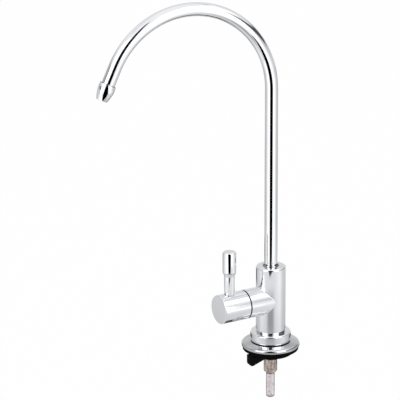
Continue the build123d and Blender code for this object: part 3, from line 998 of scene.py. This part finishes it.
@dataclass
class Column:
    """The base ring and the turned column with its side branch and trim collar."""

    ring_r: float = 16.4
    ring_low: float = 7.9
    ring_high: float = RING_TOP
    ring_bore_r: float = 10.034
    sunk: float = 1.0
    column_r: float = 12.0
    top: float = COLUMN_TOP
    edge: float = 1.7
    socket_r: float = 6.5
    socket_floor: float = 54.0
    branch_z: float = BRANCH_Z
    branch_r: float = BRANCH_R
    branch_end: float = BRANCH_END
    blend_r: float = 0.6
    mouth_r: float = 9.2
    mouth_floor: float = 15.0
    mouth_edge: float = 0.12
    collar_r: float = 6.1
    collar_bore_r: float = 5.37
    collar_top: float = COLLAR_TOP

    def ring(self) -> Form:
        """The base ring.

        Returns:
            Its form.
        """
        return Form.turned([
            Corner(self.ring_bore_r, self.ring_low), Corner(self.ring_r, self.ring_low, 0.3),
            Corner(self.ring_r, self.ring_high, 1.3), Corner(self.ring_bore_r, self.ring_high),
        ], closed=True, steps=FINE, arcs=8)

    def upright(self) -> Form:
        """The column, sunk a little into the base ring, with its socket for the spout.

        Returns:
            Its form.
        """
        spigot_r, low = self.ring_bore_r - FIT, self.ring_high - self.sunk
        return Form.turned([
            Corner(0.0, low), Corner(spigot_r, low), Corner(spigot_r, self.ring_high),
            Corner(self.column_r, self.ring_high, 0.25), Corner(self.column_r, self.top, self.edge),
            Corner(self.socket_r, self.top, 0.15), Corner(self.socket_r, self.socket_floor),
            Corner(0.0, self.socket_floor),
        ], steps=FINE, arcs=8)

    def root_spot(self, spot: Vector, share: float) -> Vector:
        """A place on the blend between column and branch.

        Args:
            spot: Any place at the wanted angle round the branch.
            share: 0 where the blend meets the column, 1 where it meets the branch.

        Returns:
            The place on the blend.
        """
        angle = math.atan2(spot.z - self.branch_z, spot.y)
        reach, column_reach = self.branch_r + self.blend_r, self.column_r + self.blend_r
        side, rise = reach * math.cos(angle), reach * math.sin(angle)
        out = math.sqrt(column_reach ** 2 - side ** 2)
        middle = Vector((-out, side, rise))
        to_column = Vector((out, -side, 0)) / column_reach
        to_branch = Vector((0, -side, -rise)) / reach
        ray = (to_column * (1 - share) + to_branch * share).normalized()
        return middle + ray * self.blend_r + Vector((0, 0, self.branch_z))

    def ringed(self, radius: float, reach: float) -> Callable[[Vector], Vector]:
        """A rule that puts corners on a circle round the branch's axis.

        Args:
            radius: The circle's radius.
            reach: Its distance from the column's axis.

        Returns:
            The rule.
        """

        def place(spot: Vector) -> Vector:
            """The corner's place on the circle."""
            angle = math.atan2(spot.z - self.branch_z, spot.y)
            return Vector((-reach, radius * math.cos(angle), self.branch_z + radius * math.sin(angle)))

        return place

    def branch(self) -> Form:
        """The side branch, blended into the column, with an open mouth for the cartridge.

        Returns:
            Its form.
        """
        form, foot_r = Form(), self.branch_r - self.blend_r
        made = bmesh.ops.create_circle(form.mesh, cap_ends=True, segments=FINE, radius=foot_r)
        bmesh.ops.transform(form.mesh, matrix=branch_matrix(self.branch_z), verts=made["verts"])
        loop = form.mesh.edges[:]
        for share in (0.0, 0.2, 0.4, 0.6, 0.8, 1.0):
            loop = form.carried_on(loop, lambda spot, share=share: self.root_spot(spot, share))
        for angle in (0.0, 30.0, 60.0, 90.0):
            turn = math.radians(angle)
            radius = self.branch_r - self.mouth_edge * (1 - math.cos(turn))
            reach = self.branch_end - self.mouth_edge * (1 - math.sin(turn))
            loop = form.carried_on(loop, self.ringed(radius, reach))
        for reach in (self.branch_end, self.mouth_floor):
            loop = form.carried_on(loop, self.ringed(self.mouth_r, reach))
        bmesh.ops.contextual_create(form.mesh, geom=loop)
        return form

    def collar(self) -> Form:
        """The slim ring round the foot of the spout.

        Returns:
            Its form.
        """
        return Form.turned([
            Corner(self.collar_bore_r, self.top), Corner(self.collar_r, self.top, 0.1),
            Corner(self.collar_r, self.collar_top, 0.35), Corner(self.collar_bore_r, self.collar_top, 0.15),
        ], closed=True)

    def build(self) -> None:
        """Makes and dresses the pieces."""
        self.ring().piece("stepped_ring", Wear.chrome_ring, "tap_body", ["base_ring"])
        column = self.upright().joined(self.branch())
        column.piece("column_and_branch", Wear.chrome_column, "tap_body", ["body_column"])
        self.collar().piece("trim_collar", Wear.chrome_collar, "tap_body", ["spout_collar"])


@dataclass
class Spout:
    """The bent tube and the barrel shaped nozzle at its end."""

    tube_r: float = 5.25
    bore_r: float = 4.5
    foot_z: float = 64.0
    spring_z: float = 216.2
    arch_r: float = 68.2
    sweep: float = 155.0
    tail: float = 13.0
    hold: float = 5.0
    turn: float = -7.4
    arch_steps: int = 78
    facets: int = 72
    head_r: float = 6.2
    belly: Corner = Corner(6.55, 3.0)
    waist: Corner = Corner(5.95, 7.6)
    neck: Corner = Corner(5.15, 10.8)
    tip: Corner = Corner(4.3, 13.2)
    mouth_r: float = 3.2
    seat_r: float = 4.0
    seat_low: float = 6.0
    seat_high: float = 9.2

    def tail_direction(self) -> Vector:
        """The direction that the tube's end points in, before the spout is turned."""
        angle = math.radians(self.sweep)
        return Vector((-math.sin(angle), 0, math.cos(angle)))

    def tail_start(self) -> Vector:
        """The place where the arch ends, before the spout is turned.

        Returns:
            The place, in millimetres.
        """
        angle = math.radians(self.sweep)
        back, rise = self.arch_r * (1 - math.cos(angle)), self.arch_r * math.sin(angle)
        return Vector((-back, 0, self.spring_z + rise))

    def tube(self) -> Form:
        """The hollow tube: straight run, arch and tail.

        Returns:
            Its form.
        """
        form = Form()
        mesh = form.mesh
        for radius in (self.tube_r, self.bore_r):
            bmesh.ops.create_circle(mesh, cap_ends=False, segments=self.facets, radius=radius)
        bmesh.ops.translate(mesh, vec=(0, 0, self.foot_z), verts=mesh.verts[:])
        loops = mesh.edges[:]
        bmesh.ops.bridge_loops(mesh, edges=loops)
        run = Vector((0, 0, self.spring_z - self.foot_z))
        loops = form.carried_on(loops, lambda spot: spot + run)
        verts = list({vert for edge in loops for vert in edge.verts})
        spun = bmesh.ops.spin(
            mesh, geom=verts + loops, cent=(-self.arch_r, 0, self.spring_z), axis=(0, -1, 0),
            angle=math.radians(self.sweep), steps=self.arch_steps, use_merge=False,
        )
        loops = [part for part in spun["geom_last"] if isinstance(part, bmesh.types.BMEdge)]
        end = self.tail_direction() * (self.tail + self.hold)
        loops = form.carried_on(loops, lambda spot: spot + end)
        bmesh.ops.bridge_loops(mesh, edges=loops)
        return form.placed(Matrix.Rotation(math.radians(self.turn), 4, "Z"))

    def nozzle(self) -> Form:
        """The nozzle, turned round its own axis and set on the tube's end.

        Returns:
            Its form.
        """
        head, socket_r = Corner(self.head_r, 0.0), self.tube_r + FIT
        form = Form.turned([
            Corner(socket_r, 0.0), Corner(self.head_r, 0.0, 0.3),
            *arc_corners(head, self.belly, self.waist, steps=12),
            *arc_corners(self.waist, self.neck, self.tip, steps=10)[:-1],
            Corner(self.tip.radius, self.tip.height, 0.25), Corner(self.mouth_r, self.tip.height, 0.3),
            Corner(self.mouth_r, self.seat_high), Corner(self.seat_r, self.seat_high),
            Corner(self.seat_r, self.seat_low), Corner(socket_r, self.seat_low),
        ], closed=True, steps=COARSE, arcs=4)
        down, across = self.tail_direction(), Vector((0, 1, 0))
        rows = Matrix((across, down.cross(across), down)).transposed().to_4x4()
        place = Matrix.Translation(self.tail_start() + down * self.tail) @ rows
        return form.placed(Matrix.Rotation(math.radians(self.turn), 4, "Z") @ place)

    def build(self) -> None:
        """Makes and dresses the pieces."""
        self.tube().piece("gooseneck_tube", Wear.chrome_tube, "spout", ["spout_tube"])
        self.nozzle().piece("barrel_nozzle", Wear.chrome_nozzle, "spout", ["spout_nozzle"])
        dress_nodes(Wear.turned_brass, "spout_foot")
        dress_nodes(Wear.inner_rubber, "spout_o_ring_lower", "spout_o_ring_upper", "nozzle_seal")
        dress_nodes(Wear.bearing_plastic, "spout_slip_ring")
        # The near black bush stands in for the shade round the foot of the spout
        dress_nodes(Wear.bush_plastic, "spout_bush")
        dress_nodes(Wear.stream_plastic, "flow_straightener")


@dataclass
class Lever:
    """The turning cap on the branch with its rod and grip."""

    branch_z: float = BRANCH_Z
    cap_r: float = BRANCH_R
    cap_start: float = CAP_START
    cap_end: float = 49.1
    hollow_r: float = 9.6
    hollow_floor: float = 31.15
    rod_at: float = 39.0
    tenon_r: float = 2.9
    tenon_z: float = 4.7
    seat_z: float = 9.1
    stem_r: float = 4.25
    stem_top: float = 26.85
    grip_r: float = 5.4
    grip_low: float = GRIP_LOW
    grip_high: float = 46.95

    def cap(self) -> Form:
        """The cap, hollow towards the column.

        Returns:
            Its form.
        """
        form = Form.turned([
            Corner(0.0, self.hollow_floor), Corner(self.hollow_r, self.hollow_floor),
            Corner(self.hollow_r, self.cap_start), Corner(self.cap_r, self.cap_start, 0.1),
            Corner(self.cap_r, self.cap_end, 0.7), Corner(0.0, self.cap_end),
        ], steps=FINE)
        return form.placed(branch_matrix(self.branch_z))

    def rod(self) -> Form:
        """The rod: tenon, stem, shoulder and grip in one turned piece.

        Returns:
            Its form.
        """
        form = Form.turned([
            Corner(0.0, self.tenon_z), Corner(self.tenon_r, self.tenon_z),
            Corner(self.tenon_r, self.seat_z), Corner(self.stem_r, self.seat_z),
            Corner(self.stem_r, self.stem_top, 0.5), Corner(self.grip_r, self.grip_low, 0.4),
            Corner(self.grip_r, self.grip_high, 1.3), Corner(0.0, self.grip_high),
        ], steps=COARSE, arcs=8)
        return form.placed(Matrix.Translation((-self.rod_at, 0, self.branch_z)))

    def build(self) -> None:
        """Makes and dresses the pieces."""
        self.cap().piece("turning_cap", Wear.chrome_cap, "lever", ["lever_cap"])
        self.rod().piece("rod_and_grip", Wear.chrome_lever, "lever", ["lever_rod"])
        dress_nodes(Wear.screw_steel, "cap_set_screw")
        dress_nodes(Wear.turned_brass, "cartridge_spindle", "cartridge_housing")
        dress_nodes(Wear.white_ceramic, "ceramic_disc_moving", "ceramic_disc_fixed")
        dress_nodes(Wear.inner_rubber, "spindle_o_ring", "cartridge_o_ring", "cartridge_seat_seal")
        # The glide ring is made darker than its plastic so that the seam between branch and cap shows as
        # painted shade
        dress_nodes(Wear.glide_plastic, "glide_ring")


@dataclass
class DeckClamp:
    """The washer below the deck and the wing nut under it."""

    washer_r: float = 18.0
    washer_bore_r: float = 5.85
    washer_top: float = -0.05
    washer_low: float = -3.4
    recess_low_r: float = 9.4
    recess_high_r: float = 16.2
    recess: float = 0.6
    hub_r: float = 7.8
    hub_bore_r: float = 5.6
    hub_top: float = -3.45
    hub_low: float = -8.05
    notch_r: float = 18.3
    wing_r: float = 23.7
    wing_top: float = -0.35
    wing_low: float = -7.6
    tip_r: float = 20.2
    tip_low: float = -11.1
    tip_rounding: float = 1.0
    wing_root: float = 0.4
    wing_root_rise: float = 0.3
    wing_thick: float = 3.2
    wing_edge: float = 0.4
    wing_turn: float = 7.0

    def washer(self) -> Form:
        """The washer, with a shallow recess below.

        Returns:
            Its form.
        """
        return Form.turned([
            Corner(self.washer_bore_r, self.washer_top), Corner(self.washer_r, self.washer_top, 0.25),
            Corner(self.washer_r, self.washer_low, 0.5), Corner(self.recess_high_r, self.washer_low, 0.2),
            Corner(self.recess_high_r - self.recess, self.washer_low + self.recess, 0.2),
            Corner(self.recess_low_r + self.recess, self.washer_low + self.recess, 0.2),
            Corner(self.recess_low_r, self.washer_low, 0.2),
            Corner(self.washer_bore_r, self.washer_low, 0.2),
        ], closed=True, arcs=4)

    @staticmethod
    def thickness(edge: bmesh.types.BMEdge) -> float:
        """How far an edge runs through the wing's thickness."""
        return abs(edge.verts[0].co.y - edge.verts[1].co.y)

    def wing(self) -> Form:
        """One wing, cut from a flat outline and bevelled all round.

        Returns:
            Its form, on the side of +X.
        """
        form = Form()
        mesh = form.mesh
        root_r, near = self.hub_bore_r + self.wing_root, 0.1
        outline = [
            (root_r, self.hub_top), (self.notch_r, self.hub_top), (self.notch_r, self.wing_top),
            (self.wing_r, self.wing_top), (self.wing_r, self.wing_low), (self.tip_r, self.tip_low),
            (root_r, self.hub_low + self.wing_root_rise),
        ]
        verts = [mesh.verts.new((across, -self.wing_thick / 2, height)) for across, height in outline]
        mesh.faces.new(verts)
        made = bmesh.ops.extrude_face_region(mesh, geom=mesh.faces[:])["geom"]
        moved = [part for part in made if isinstance(part, bmesh.types.BMVert)]
        bmesh.ops.translate(mesh, vec=(0, self.wing_thick, 0), verts=moved)
        tips = [
            edge for edge in mesh.edges
            if self.thickness(edge) > near and min(vert.co.x for vert in edge.verts) > self.tip_r - near
            and min(vert.co.z for vert in edge.verts) < self.wing_low + near
        ]
        form.bevelled(tips, offset=self.tip_rounding, segments=5, affect="EDGES")
        rims = [edge for edge in mesh.edges if self.thickness(edge) < near / 10]
        form.bevelled(rims, offset=self.wing_edge, segments=3, affect="EDGES")
        return form

    def nut(self) -> Form:
        """The hub with its two wings.

        Returns:
            Its form.
        """
        form = Form.turned([
            Corner(self.hub_bore_r, self.hub_top), Corner(self.hub_r, self.hub_top, 0.2),
            Corner(self.hub_r, self.hub_low, 0.5), Corner(self.hub_bore_r, self.hub_low, 0.3),
        ], closed=True, steps=COARSE, arcs=4)
        for side in (0.0, 180.0):
            form.joined(self.wing().placed(Matrix.Rotation(math.radians(side), 4, "Z")))
        return form.placed(Matrix.Rotation(math.radians(self.wing_turn), 4, "Z"))

    def build(self) -> None:
        """Makes and dresses the pieces."""
        self.washer().piece("deck_washer", Wear.washer_plastic, "washer", ["clamp_washer"])
        self.nut().piece("winged_nut", Wear.nut_plastic, "nut", ["wing_nut"])


@dataclass
class Inlet:
    """The threaded shank and the inlet stub below it.

    The two shares are half the thread's width, at its root and at its crest, over its pitch.
    """

    crest_r: float = THREAD_CREST_R
    root_r: float = THREAD_ROOT_R
    pitch: float = 1.27
    root_share: float = 0.45
    crest_share: float = 0.2
    thread_sink: float = 0.1
    thread_lead: float = 1.2
    thread_low: float = -19.2
    thread_high: float = 1.0
    run_out: float = 0.6
    point_r: float = 3.95
    point_z: float = SHANK_END
    bore_r: float = 3.28
    upper_bore_r: float = 2.6
    top: float = 21.0
    stub_r: float = 3.5
    insert_r: float = 3.25
    stub_bore_r: float = 2.1
    stub_low: float = -42.2
    stub_high: float = -11.9
    seat_gap: float = 1.4
    turn_steps: int = 48

    def cone_r(self, height: float) -> float:
        """The largest radius that the shank's point leaves at a height."""
        share = min(1.0, max(0.0, (self.thread_low - height) / (self.thread_low - self.point_z)))
        return self.crest_r + (self.point_r - self.crest_r) * share

    def core(self) -> Form:
        """The shank's core, at the root of the thread.

        Returns:
            Its form.
        """
        taper = (self.crest_r - self.root_r) / (self.crest_r - self.point_r)
        root_z = self.thread_low - (self.thread_low - self.point_z) * taper
        step_z = self.stub_high + self.seat_gap
        return Form.turned([
            Corner(self.bore_r, self.point_z), Corner(self.point_r, self.point_z, 0.12),
            Corner(self.root_r, root_z), Corner(self.root_r, self.thread_high),
            Corner(self.crest_r, self.thread_high + self.run_out), Corner(self.crest_r, self.top),
            Corner(self.upper_bore_r, self.top), Corner(self.upper_bore_r, step_z),
            Corner(self.bore_r, step_z),
        ], closed=True, steps=COARSE, arcs=3)

    def thread(self) -> Form:
        """The ridge of the thread, wound right-handed and cut back to the shank's point.

        Returns:
            Its form.
        """
        form = Form()
        mesh = form.mesh
        base, crest = self.pitch * self.root_share, self.pitch * self.crest_share
        inner_r, start = self.root_r - self.thread_sink, self.point_z + self.thread_lead
        outline = [(inner_r, -base), (self.crest_r, -crest), (self.crest_r, crest), (inner_r, base)]
        verts = [mesh.verts.new((radius, 0, start + rise)) for radius, rise in outline]
        mesh.faces.new(verts)
        steps = round((self.thread_high - start) / self.pitch * self.turn_steps)
        bmesh.ops.spin(
            mesh, geom=mesh.verts[:] + mesh.edges[:] + mesh.faces[:], cent=(0, 0, 0), axis=(0, 0, 1),
            dvec=(0, 0, self.pitch / self.turn_steps), angle=math.tau * steps / self.turn_steps, steps=steps,
            use_merge=False,
        )
        bmesh.ops.holes_fill(mesh, edges=[edge for edge in mesh.edges if len(edge.link_faces) == 1], sides=4)
        for vert in mesh.verts:
            radius, limit = vert.co.xy.length, self.cone_r(vert.co.z)
            if radius > limit:
                vert.co.xy *= limit / radius
        return form

    def stub(self) -> Form:
        """The inlet stub with its rounded end.

        Returns:
            Its form.
        """
        return Form.turned([
            Corner(self.stub_bore_r, self.stub_low, 0.25), Corner(self.stub_r, self.stub_low, 1.1),
            Corner(self.stub_r, self.point_z), Corner(self.insert_r, self.point_z),
            Corner(self.insert_r, self.stub_high), Corner(self.stub_bore_r, self.stub_high),
        ], closed=True, steps=COARSE)

    def build(self) -> None:
        """Makes and dresses the pieces."""
        shank = self.core().joined(self.thread())
        shank.piece("thread_and_shank", Wear.nickel_shank, "tap_body", ["threaded_shank"], crease=45.0)
        self.stub().piece("inlet_pipe_stub", Wear.nickel_stub, "tap_body", ["inlet_stub"])
        dress_nodes(Wear.inner_rubber, "shank_o_ring", "inlet_seal")


# Studio


def stage_material(name: str) -> tuple[bpy.types.Material, Graph]:
    """An empty material and its graph.

    Args:
        name: The material's name.

    Returns:
        The material and the graph of its nodes.
    """
    material = bpy.data.materials.new(name)
    material.use_nodes = True
    return material, Graph(material.node_tree)


def stage_object(
    name: str, mesh: bmesh.types.BMesh, material: bpy.types.Material, reflected_only: bool = False
) -> None:
    """Puts a piece of the studio in the scene.

    Args:
        name: Its name.
        mesh: Its mesh, which is freed.
        material: What it wears.
        reflected_only: Whether only reflections show it.
    """
    made = bpy.data.meshes.new(name)
    mesh.to_mesh(made)
    mesh.free()
    made.materials.append(material)
    thing = in_scene(name, made)
    if reflected_only:
        thing.visible_camera = thing.visible_diffuse = thing.visible_shadow = False
        thing.visible_transmission = thing.visible_volume_scatter = False


@dataclass(frozen=True)
class Card:
    """A flat studio card, seen only in reflections.

    Each corner is a distance from the tap's axis in metres, an angle from the camera's side in degrees and a
    height in metres.
    """

    name: str
    strength: float
    corners: tuple[tuple[float, float, float], ...]

    def build(self, facing: float) -> None:
        """Makes the card.

        Args:
            facing: The direction of the camera's side, in degrees round Z.
        """
        mesh = bmesh.new()
        verts = []
        for distance, angle, height in self.corners:
            turn = math.radians(facing + angle)
            verts.append(mesh.verts.new((distance * math.cos(turn), distance * math.sin(turn), height)))
        mesh.faces.new(verts)
        material, graph = stage_material(self.name)
        graph.output(graph.glow((*grey(self.strength), 1.0)))
        stage_object(self.name, mesh, material, reflected_only=True)


@dataclass(frozen=True)
class Softbox:
    """A rectangular lamp that faces the tap.

    Angle is counted from the camera's side in degrees, brightness is the lamp's own, where 1 is white.
    """

    name: str
    angle: float
    distance: float
    height: float
    width: float
    tall: float
    brightness: float
    aim_z: float = 0.1

    def build(self, facing: float) -> None:
        """Makes the lamp.

        Args:
            facing: The direction of the camera's side, in degrees round Z.
        """
        lamp = bpy.data.lights.new(self.name, "AREA")
        lamp.shape = "RECTANGLE"
        lamp.size, lamp.size_y = self.width, self.tall
        lamp.energy = self.brightness * math.pi * self.width * self.tall
        turn = math.radians(facing + self.angle)
        spot = Vector((self.distance * math.cos(turn), self.distance * math.sin(turn), self.height))
        thing = in_scene(self.name, lamp)
        thing.location = spot
        thing.rotation_mode = "QUATERNION"
        thing.rotation_quaternion = (Vector((0, 0, self.aim_z)) - spot).to_track_quat("-Z", "Y")
        thing.visible_camera = False


@dataclass(frozen=True)
class Patch:
    """A soft patch of painted shade on the floor, seen only in reflections.

    Each fade is two places, between which the patch comes in or goes out. Radii are in metres, and bearings
    are shares of a half turn from the camera's side.
    """

    colour: Colour
    strength: float = 1.0
    bearing_in: Optional[Fade] = None
    bearing_out: Optional[Fade] = None
    radius_in: Optional[Fade] = None
    radius_out: Optional[Fade] = None

    def laid(
        self, graph: Graph, tone: Signal, bearing: Signal, radius: Signal, within: Value = 1.0
    ) -> Signal:
        """Lays the patch over a colour.

        Args:
            graph: The floor's nodes.
            tone: The colour below it.
            bearing: The bearing on the floor.
            radius: The radius on the floor.
            within: 1 where the patch may show.

        Returns:
            The colour with the patch.
        """
        share = within * self.strength
        for scale, fade in ((bearing, self.bearing_in), (radius, self.radius_in)):
            share = share if fade is None else scale.between(*fade) * share
        for scale, fade in ((bearing, self.bearing_out), (radius, self.radius_out)):
            share = share if fade is None else (1.0 - scale.between(*fade)) * share
        return graph.mixed(share, tone, self.colour)


@dataclass
class Studio:
    """White floor, white room, soft lamps and the cards that the chrome reflects.

    The grey levels that the chrome sees are listed by degrees, from the camera's side for the floor and above
    the horizon for the tent. Where one list takes over from another is a Fade, in metres for far_from and in
    shares of a half turn from the camera's side for the others.
    """

    facing: float = 237.0
    floor_z: float = -0.0425
    floor_half: float = 8.0
    floor_paper: float = 0.95
    floor_glow: float = 0.985
    tent_r: float = 4.0
    ambient: float = 0.6
    far_from: Fade = (0.33, 0.5)
    tent_from: Fade = (0.33, 0.41)
    left_from: Fade = (0.45, 0.52)
    back_from: Fade = (0.68, 0.86)
    near_floor: dict[float, float] = field(default_factory=lambda: {
        0: 0.84, 30: 0.82, 62: 0.98, 76: 1.0, 92: 0.8, 105: 0.7, 130: 0.66, 152: 0.6, 170: 0.85,
    })
    far_floor: dict[float, float] = field(default_factory=lambda: {
        0: 0.8, 26: 0.95, 60: 1.1, 74: 0.93, 95: 0.66, 126: 0.54, 146: 0.6, 160: 0.85, 176: 0.98,
    })
    left_room: dict[float, float] = field(default_factory=lambda: {
        0: 0.7, 9: 0.6, 13: 0.42, 22: 0.5, 26: 0.8, 40: 0.9, 54: 0.95, 58: 0.6, 62: 0.95, 90: 1.0,
    })
    side_room: dict[float, float] = field(default_factory=lambda: {
        0: 0.7, 9: 0.6, 13: 0.08, 22: 0.08, 26: 0.8, 40: 0.9, 54: 0.95, 58: 0.6, 62: 0.95, 90: 1.0,
    })
    back_room: dict[float, float] = field(default_factory=lambda: {
        0: 0.95, 12: 0.8, 20: 0.74, 38: 0.72, 46: 0.9, 56: 0.95, 59: 0.6, 63: 0.95, 90: 1.0,
    })
    # Painted shade on the floor, seen only in the chrome: broad shade round the tap, a darker stretch in
    # front of it, a dark stretch behind it near the tap and a near black spot right under the stub
    near_painted_shades: tuple[Patch, ...] = (
        Patch((0.3, 0.3, 0.31), strength=0.3, radius_out=(0.1, 0.32)),
        Patch((0.36, 0.36, 0.37), bearing_out=(0.06, 0.2), radius_in=(0.1, 0.19), radius_out=(0.23, 0.3)),
        Patch(grey(0.05), strength=0.92, bearing_in=(0.62, 0.78), radius_out=(0.15, 0.18)),
        Patch(grey(0.05), strength=0.85, radius_out=(0.004, 0.01)),
    )
    # Painted shade on the floor, seen only in the chrome, behind the tap on its left
    left_painted_shade: Patch = Patch(
        grey(0.05), strength=0.85, bearing_in=(0.69, 0.76), bearing_out=(0.84, 0.9), radius_in=(0.27, 0.3),
        radius_out=(0.4, 0.44),
    )
    lamps: tuple[Softbox, ...] = (
        Softbox("lamp_left", angle=-45.0, distance=1.5, height=0.75, width=1.0, tall=1.5, brightness=1.25),
        Softbox("lamp_right", angle=45.0, distance=1.5, height=0.75, width=1.0, tall=1.5, brightness=1.25),
        Softbox("lamp_above", angle=74.0, distance=1.0, height=1.2, width=0.9, tall=0.7, brightness=0.62),
    )
    cards: tuple[Card, ...] = (
        Card("dark_card_floor", strength=0.0, corners=(
            (0.335, -17, -0.04), (0.314, -9, -0.04), (0.318, 0, -0.04), (0.326, 9, -0.04), (0.35, 17, -0.04),
            (0.44, 23, -0.04), (1.3, 24, -0.04), (1.3, -24, -0.04), (0.42, -23, -0.04),
        )),
        Card("dark_card_upright", strength=0.0, corners=(
            (1.3, 24, -0.04), (1.25, 18, 0.4), (1.2, 9, 1.1), (1.15, 5, 1.7), (1.15, -5, 1.7), (1.2, -9, 1.1),
            (1.25, -18, 0.4), (1.3, -24, -0.04),
        )),
        Card("dark_card_back", strength=0.02, corners=(
            (0.36, 160, -0.04), (0.36, 200, -0.04), (0.75, 196, -0.04), (0.85, 180, -0.04),
            (0.75, 164, -0.04),
        )),
        Card("white_card_left", strength=1.25, corners=(
            (0.36, -25, -0.041), (1.3, -25, -0.041), (1.3, -62, -0.041), (0.36, -62, -0.041),
        )),
        Card("white_card_right", strength=1.25, corners=(
            (0.36, 25, -0.041), (0.36, 62, -0.041), (1.3, 62, -0.041), (1.3, 25, -0.041),
        )),
    )

    def leftward(self, across: Signal, along: Signal, soft: float) -> Signal:
        """1 on the left of the camera's line of sight, 0 on the right and eased over a width in metres."""
        turn = math.radians(self.facing)
        return (across * math.sin(turn) - along * math.cos(turn)).between(-soft, soft)

    def floor(self) -> None:
        """The pale floor, white to the camera, that keeps the tap's shadow."""
        mesh = bmesh.new()
        bmesh.ops.create_grid(mesh, x_segments=1, y_segments=1, size=self.floor_half)
        bmesh.ops.translate(mesh, vec=(0, 0, self.floor_z), verts=mesh.verts[:])
        material, graph = stage_material("studio_floor")
        across, along, _ = graph.axis_parts(graph.point())
        radius = (across * across + along * along) ** 0.5
        bearing = graph.bearing(self.facing)
        near, far = (graph.greys(bearing, levels, span=180) for levels in (self.near_floor, self.far_floor))
        for patch in self.near_painted_shades:
            near = patch.laid(graph, near, bearing, radius)
        seen = graph.mixed(radius.between(*self.far_from), near, far)
        seen = self.left_painted_shade.laid(graph, seen, bearing, radius, self.leftward(across, along, soft=0.01))
        path = graph.node("ShaderNodeLightPath", output="Is Camera Ray")
        glossy = Signal(graph, path.socket.node.outputs["Is Glossy Ray"])
        through = Signal(graph, path.socket.node.outputs["Is Transmission Ray"])
        glow = graph.glow(graph.mixed(glossy, WHITE, seen))
        paper = graph.node("ShaderNodeBsdfDiffuse", inputs={"Color": (*grey(self.floor_paper), 1.0)})
        share = (path * self.floor_glow + glossy + through).at_most(1.0)
        lit = graph.node("ShaderNodeMixShader", inputs={0: share, 1: paper, 2: glow})
        below = graph.node("ShaderNodeNewGeometry", output="Backfacing")
        clear = graph.node("ShaderNodeBsdfTransparent")
        graph.output(graph.node("ShaderNodeMixShader", inputs={0: below, 1: lit, 2: clear}))
        stage_object("studio_floor", mesh, material)

    def tent(self) -> None:
        """The tent of white and grey cloth, of which only the chrome shows anything."""
        mesh = bmesh.new()
        bmesh.ops.create_uvsphere(mesh, u_segments=48, v_segments=24, radius=self.tent_r)
        material, graph = stage_material("studio_tent")
        across, along, height = graph.axis_parts(graph.point())
        angle = graph.node("ShaderNodeMath", {"operation": "ARCSINE"}, {0: height / self.tent_r})
        rise = angle / (math.pi / 2)
        bearing = graph.bearing(self.facing)
        left = self.leftward(across, along, soft=0.5) * bearing.between(*self.left_from)
        rooms = (self.side_room, self.left_room, self.back_room)
        side, left_side, back = (graph.greys(rise, levels, span=90) for levels in rooms)
        tone = graph.mixed(bearing.between(*self.back_from), graph.mixed(left, side, left_side), back)
        graph.output(graph.glow(graph.mixed(bearing.between(*self.tent_from), WHITE, tone)))
        stage_object("studio_tent", mesh, material, reflected_only=True)

    def room(self) -> None:
        """The world: white to the camera and soft on the tap."""
        world = bpy.data.worlds.new("studio_room")
        bpy.context.scene.world = world
        world.use_nodes = True
        graph = Graph(world.node_tree)
        path = graph.node("ShaderNodeLightPath", output="Is Camera Ray")
        tone = graph.mixed(path, grey(self.ambient), WHITE)
        shade = graph.node("ShaderNodeBackground", inputs={"Color": tone, "Strength": 1.0})
        graph.output(shade, "ShaderNodeOutputWorld")

    def build(self) -> None:
        """Makes the floor, the tent, the room, the lamps and the cards."""
        self.floor()
        self.tent()
        self.room()
        for part in (*self.lamps, *self.cards):
            part.build(self.facing)
        bpy.context.scene.view_settings.view_transform = "Standard"
        log.info("studio: %d lamps, %d cards", len(self.lamps), len(self.cards))


@dataclass(frozen=True)
class PhotoCamera:
    """The photograph's camera. Angles in degrees, lengths in metres, focal length in pixels of 400."""

    distance: float = 1.3898
    height: float = 0.548
    yaw: float = -2.326
    pitch: float = 16.906
    roll: float = 0.437
    turn: float = -33.0
    focal: float = 1829.784
    side: float = 400.0
    sensor: float = 36.0
    clip: tuple[float, float] = (0.05, 50.0)

    def build(self) -> None:
        """Makes the camera and sets it as the scene's."""
        yaw, pitch, roll = (math.radians(angle) for angle in (self.yaw, self.pitch, self.roll))
        ahead = Vector((math.sin(yaw) * math.cos(pitch), math.cos(yaw) * math.cos(pitch), -math.sin(pitch)))
        right = Vector((math.cos(yaw), -math.sin(yaw), 0))
        down = ahead.cross(right)
        tilted_right = right * math.cos(roll) + down * math.sin(roll)
        tilted_down = down * math.cos(roll) - right * math.sin(roll)
        rows = Matrix((tilted_right, -tilted_down, -ahead)).transposed().to_4x4()
        stand = Matrix.Translation((0, -self.distance, self.height)) @ rows
        lens = bpy.data.cameras.new("photo_camera")
        lens.sensor_fit = "HORIZONTAL"
        lens.sensor_width = self.sensor
        lens.lens = self.focal * self.sensor / self.side
        lens.clip_start, lens.clip_end = self.clip
        camera = in_scene("photo_camera", lens)
        camera.matrix_world = Matrix.Rotation(math.radians(self.turn), 4, "Z") @ stand
        bpy.context.scene.camera = camera


def main() -> None:
    """Builds the tap's sub-assemblies in order, then the studio and the camera."""
    logging.basicConfig(level=logging.INFO, format="%(message)s")
    for part in (CoverPlate(), Column(), Spout(), Lever(), DeckClamp(), Inlet()):
        part.build()
        log.info("built %s", type(part).__name__)
    Studio().build()
    PhotoCamera().build()


if __name__ == "__main__":
    main()
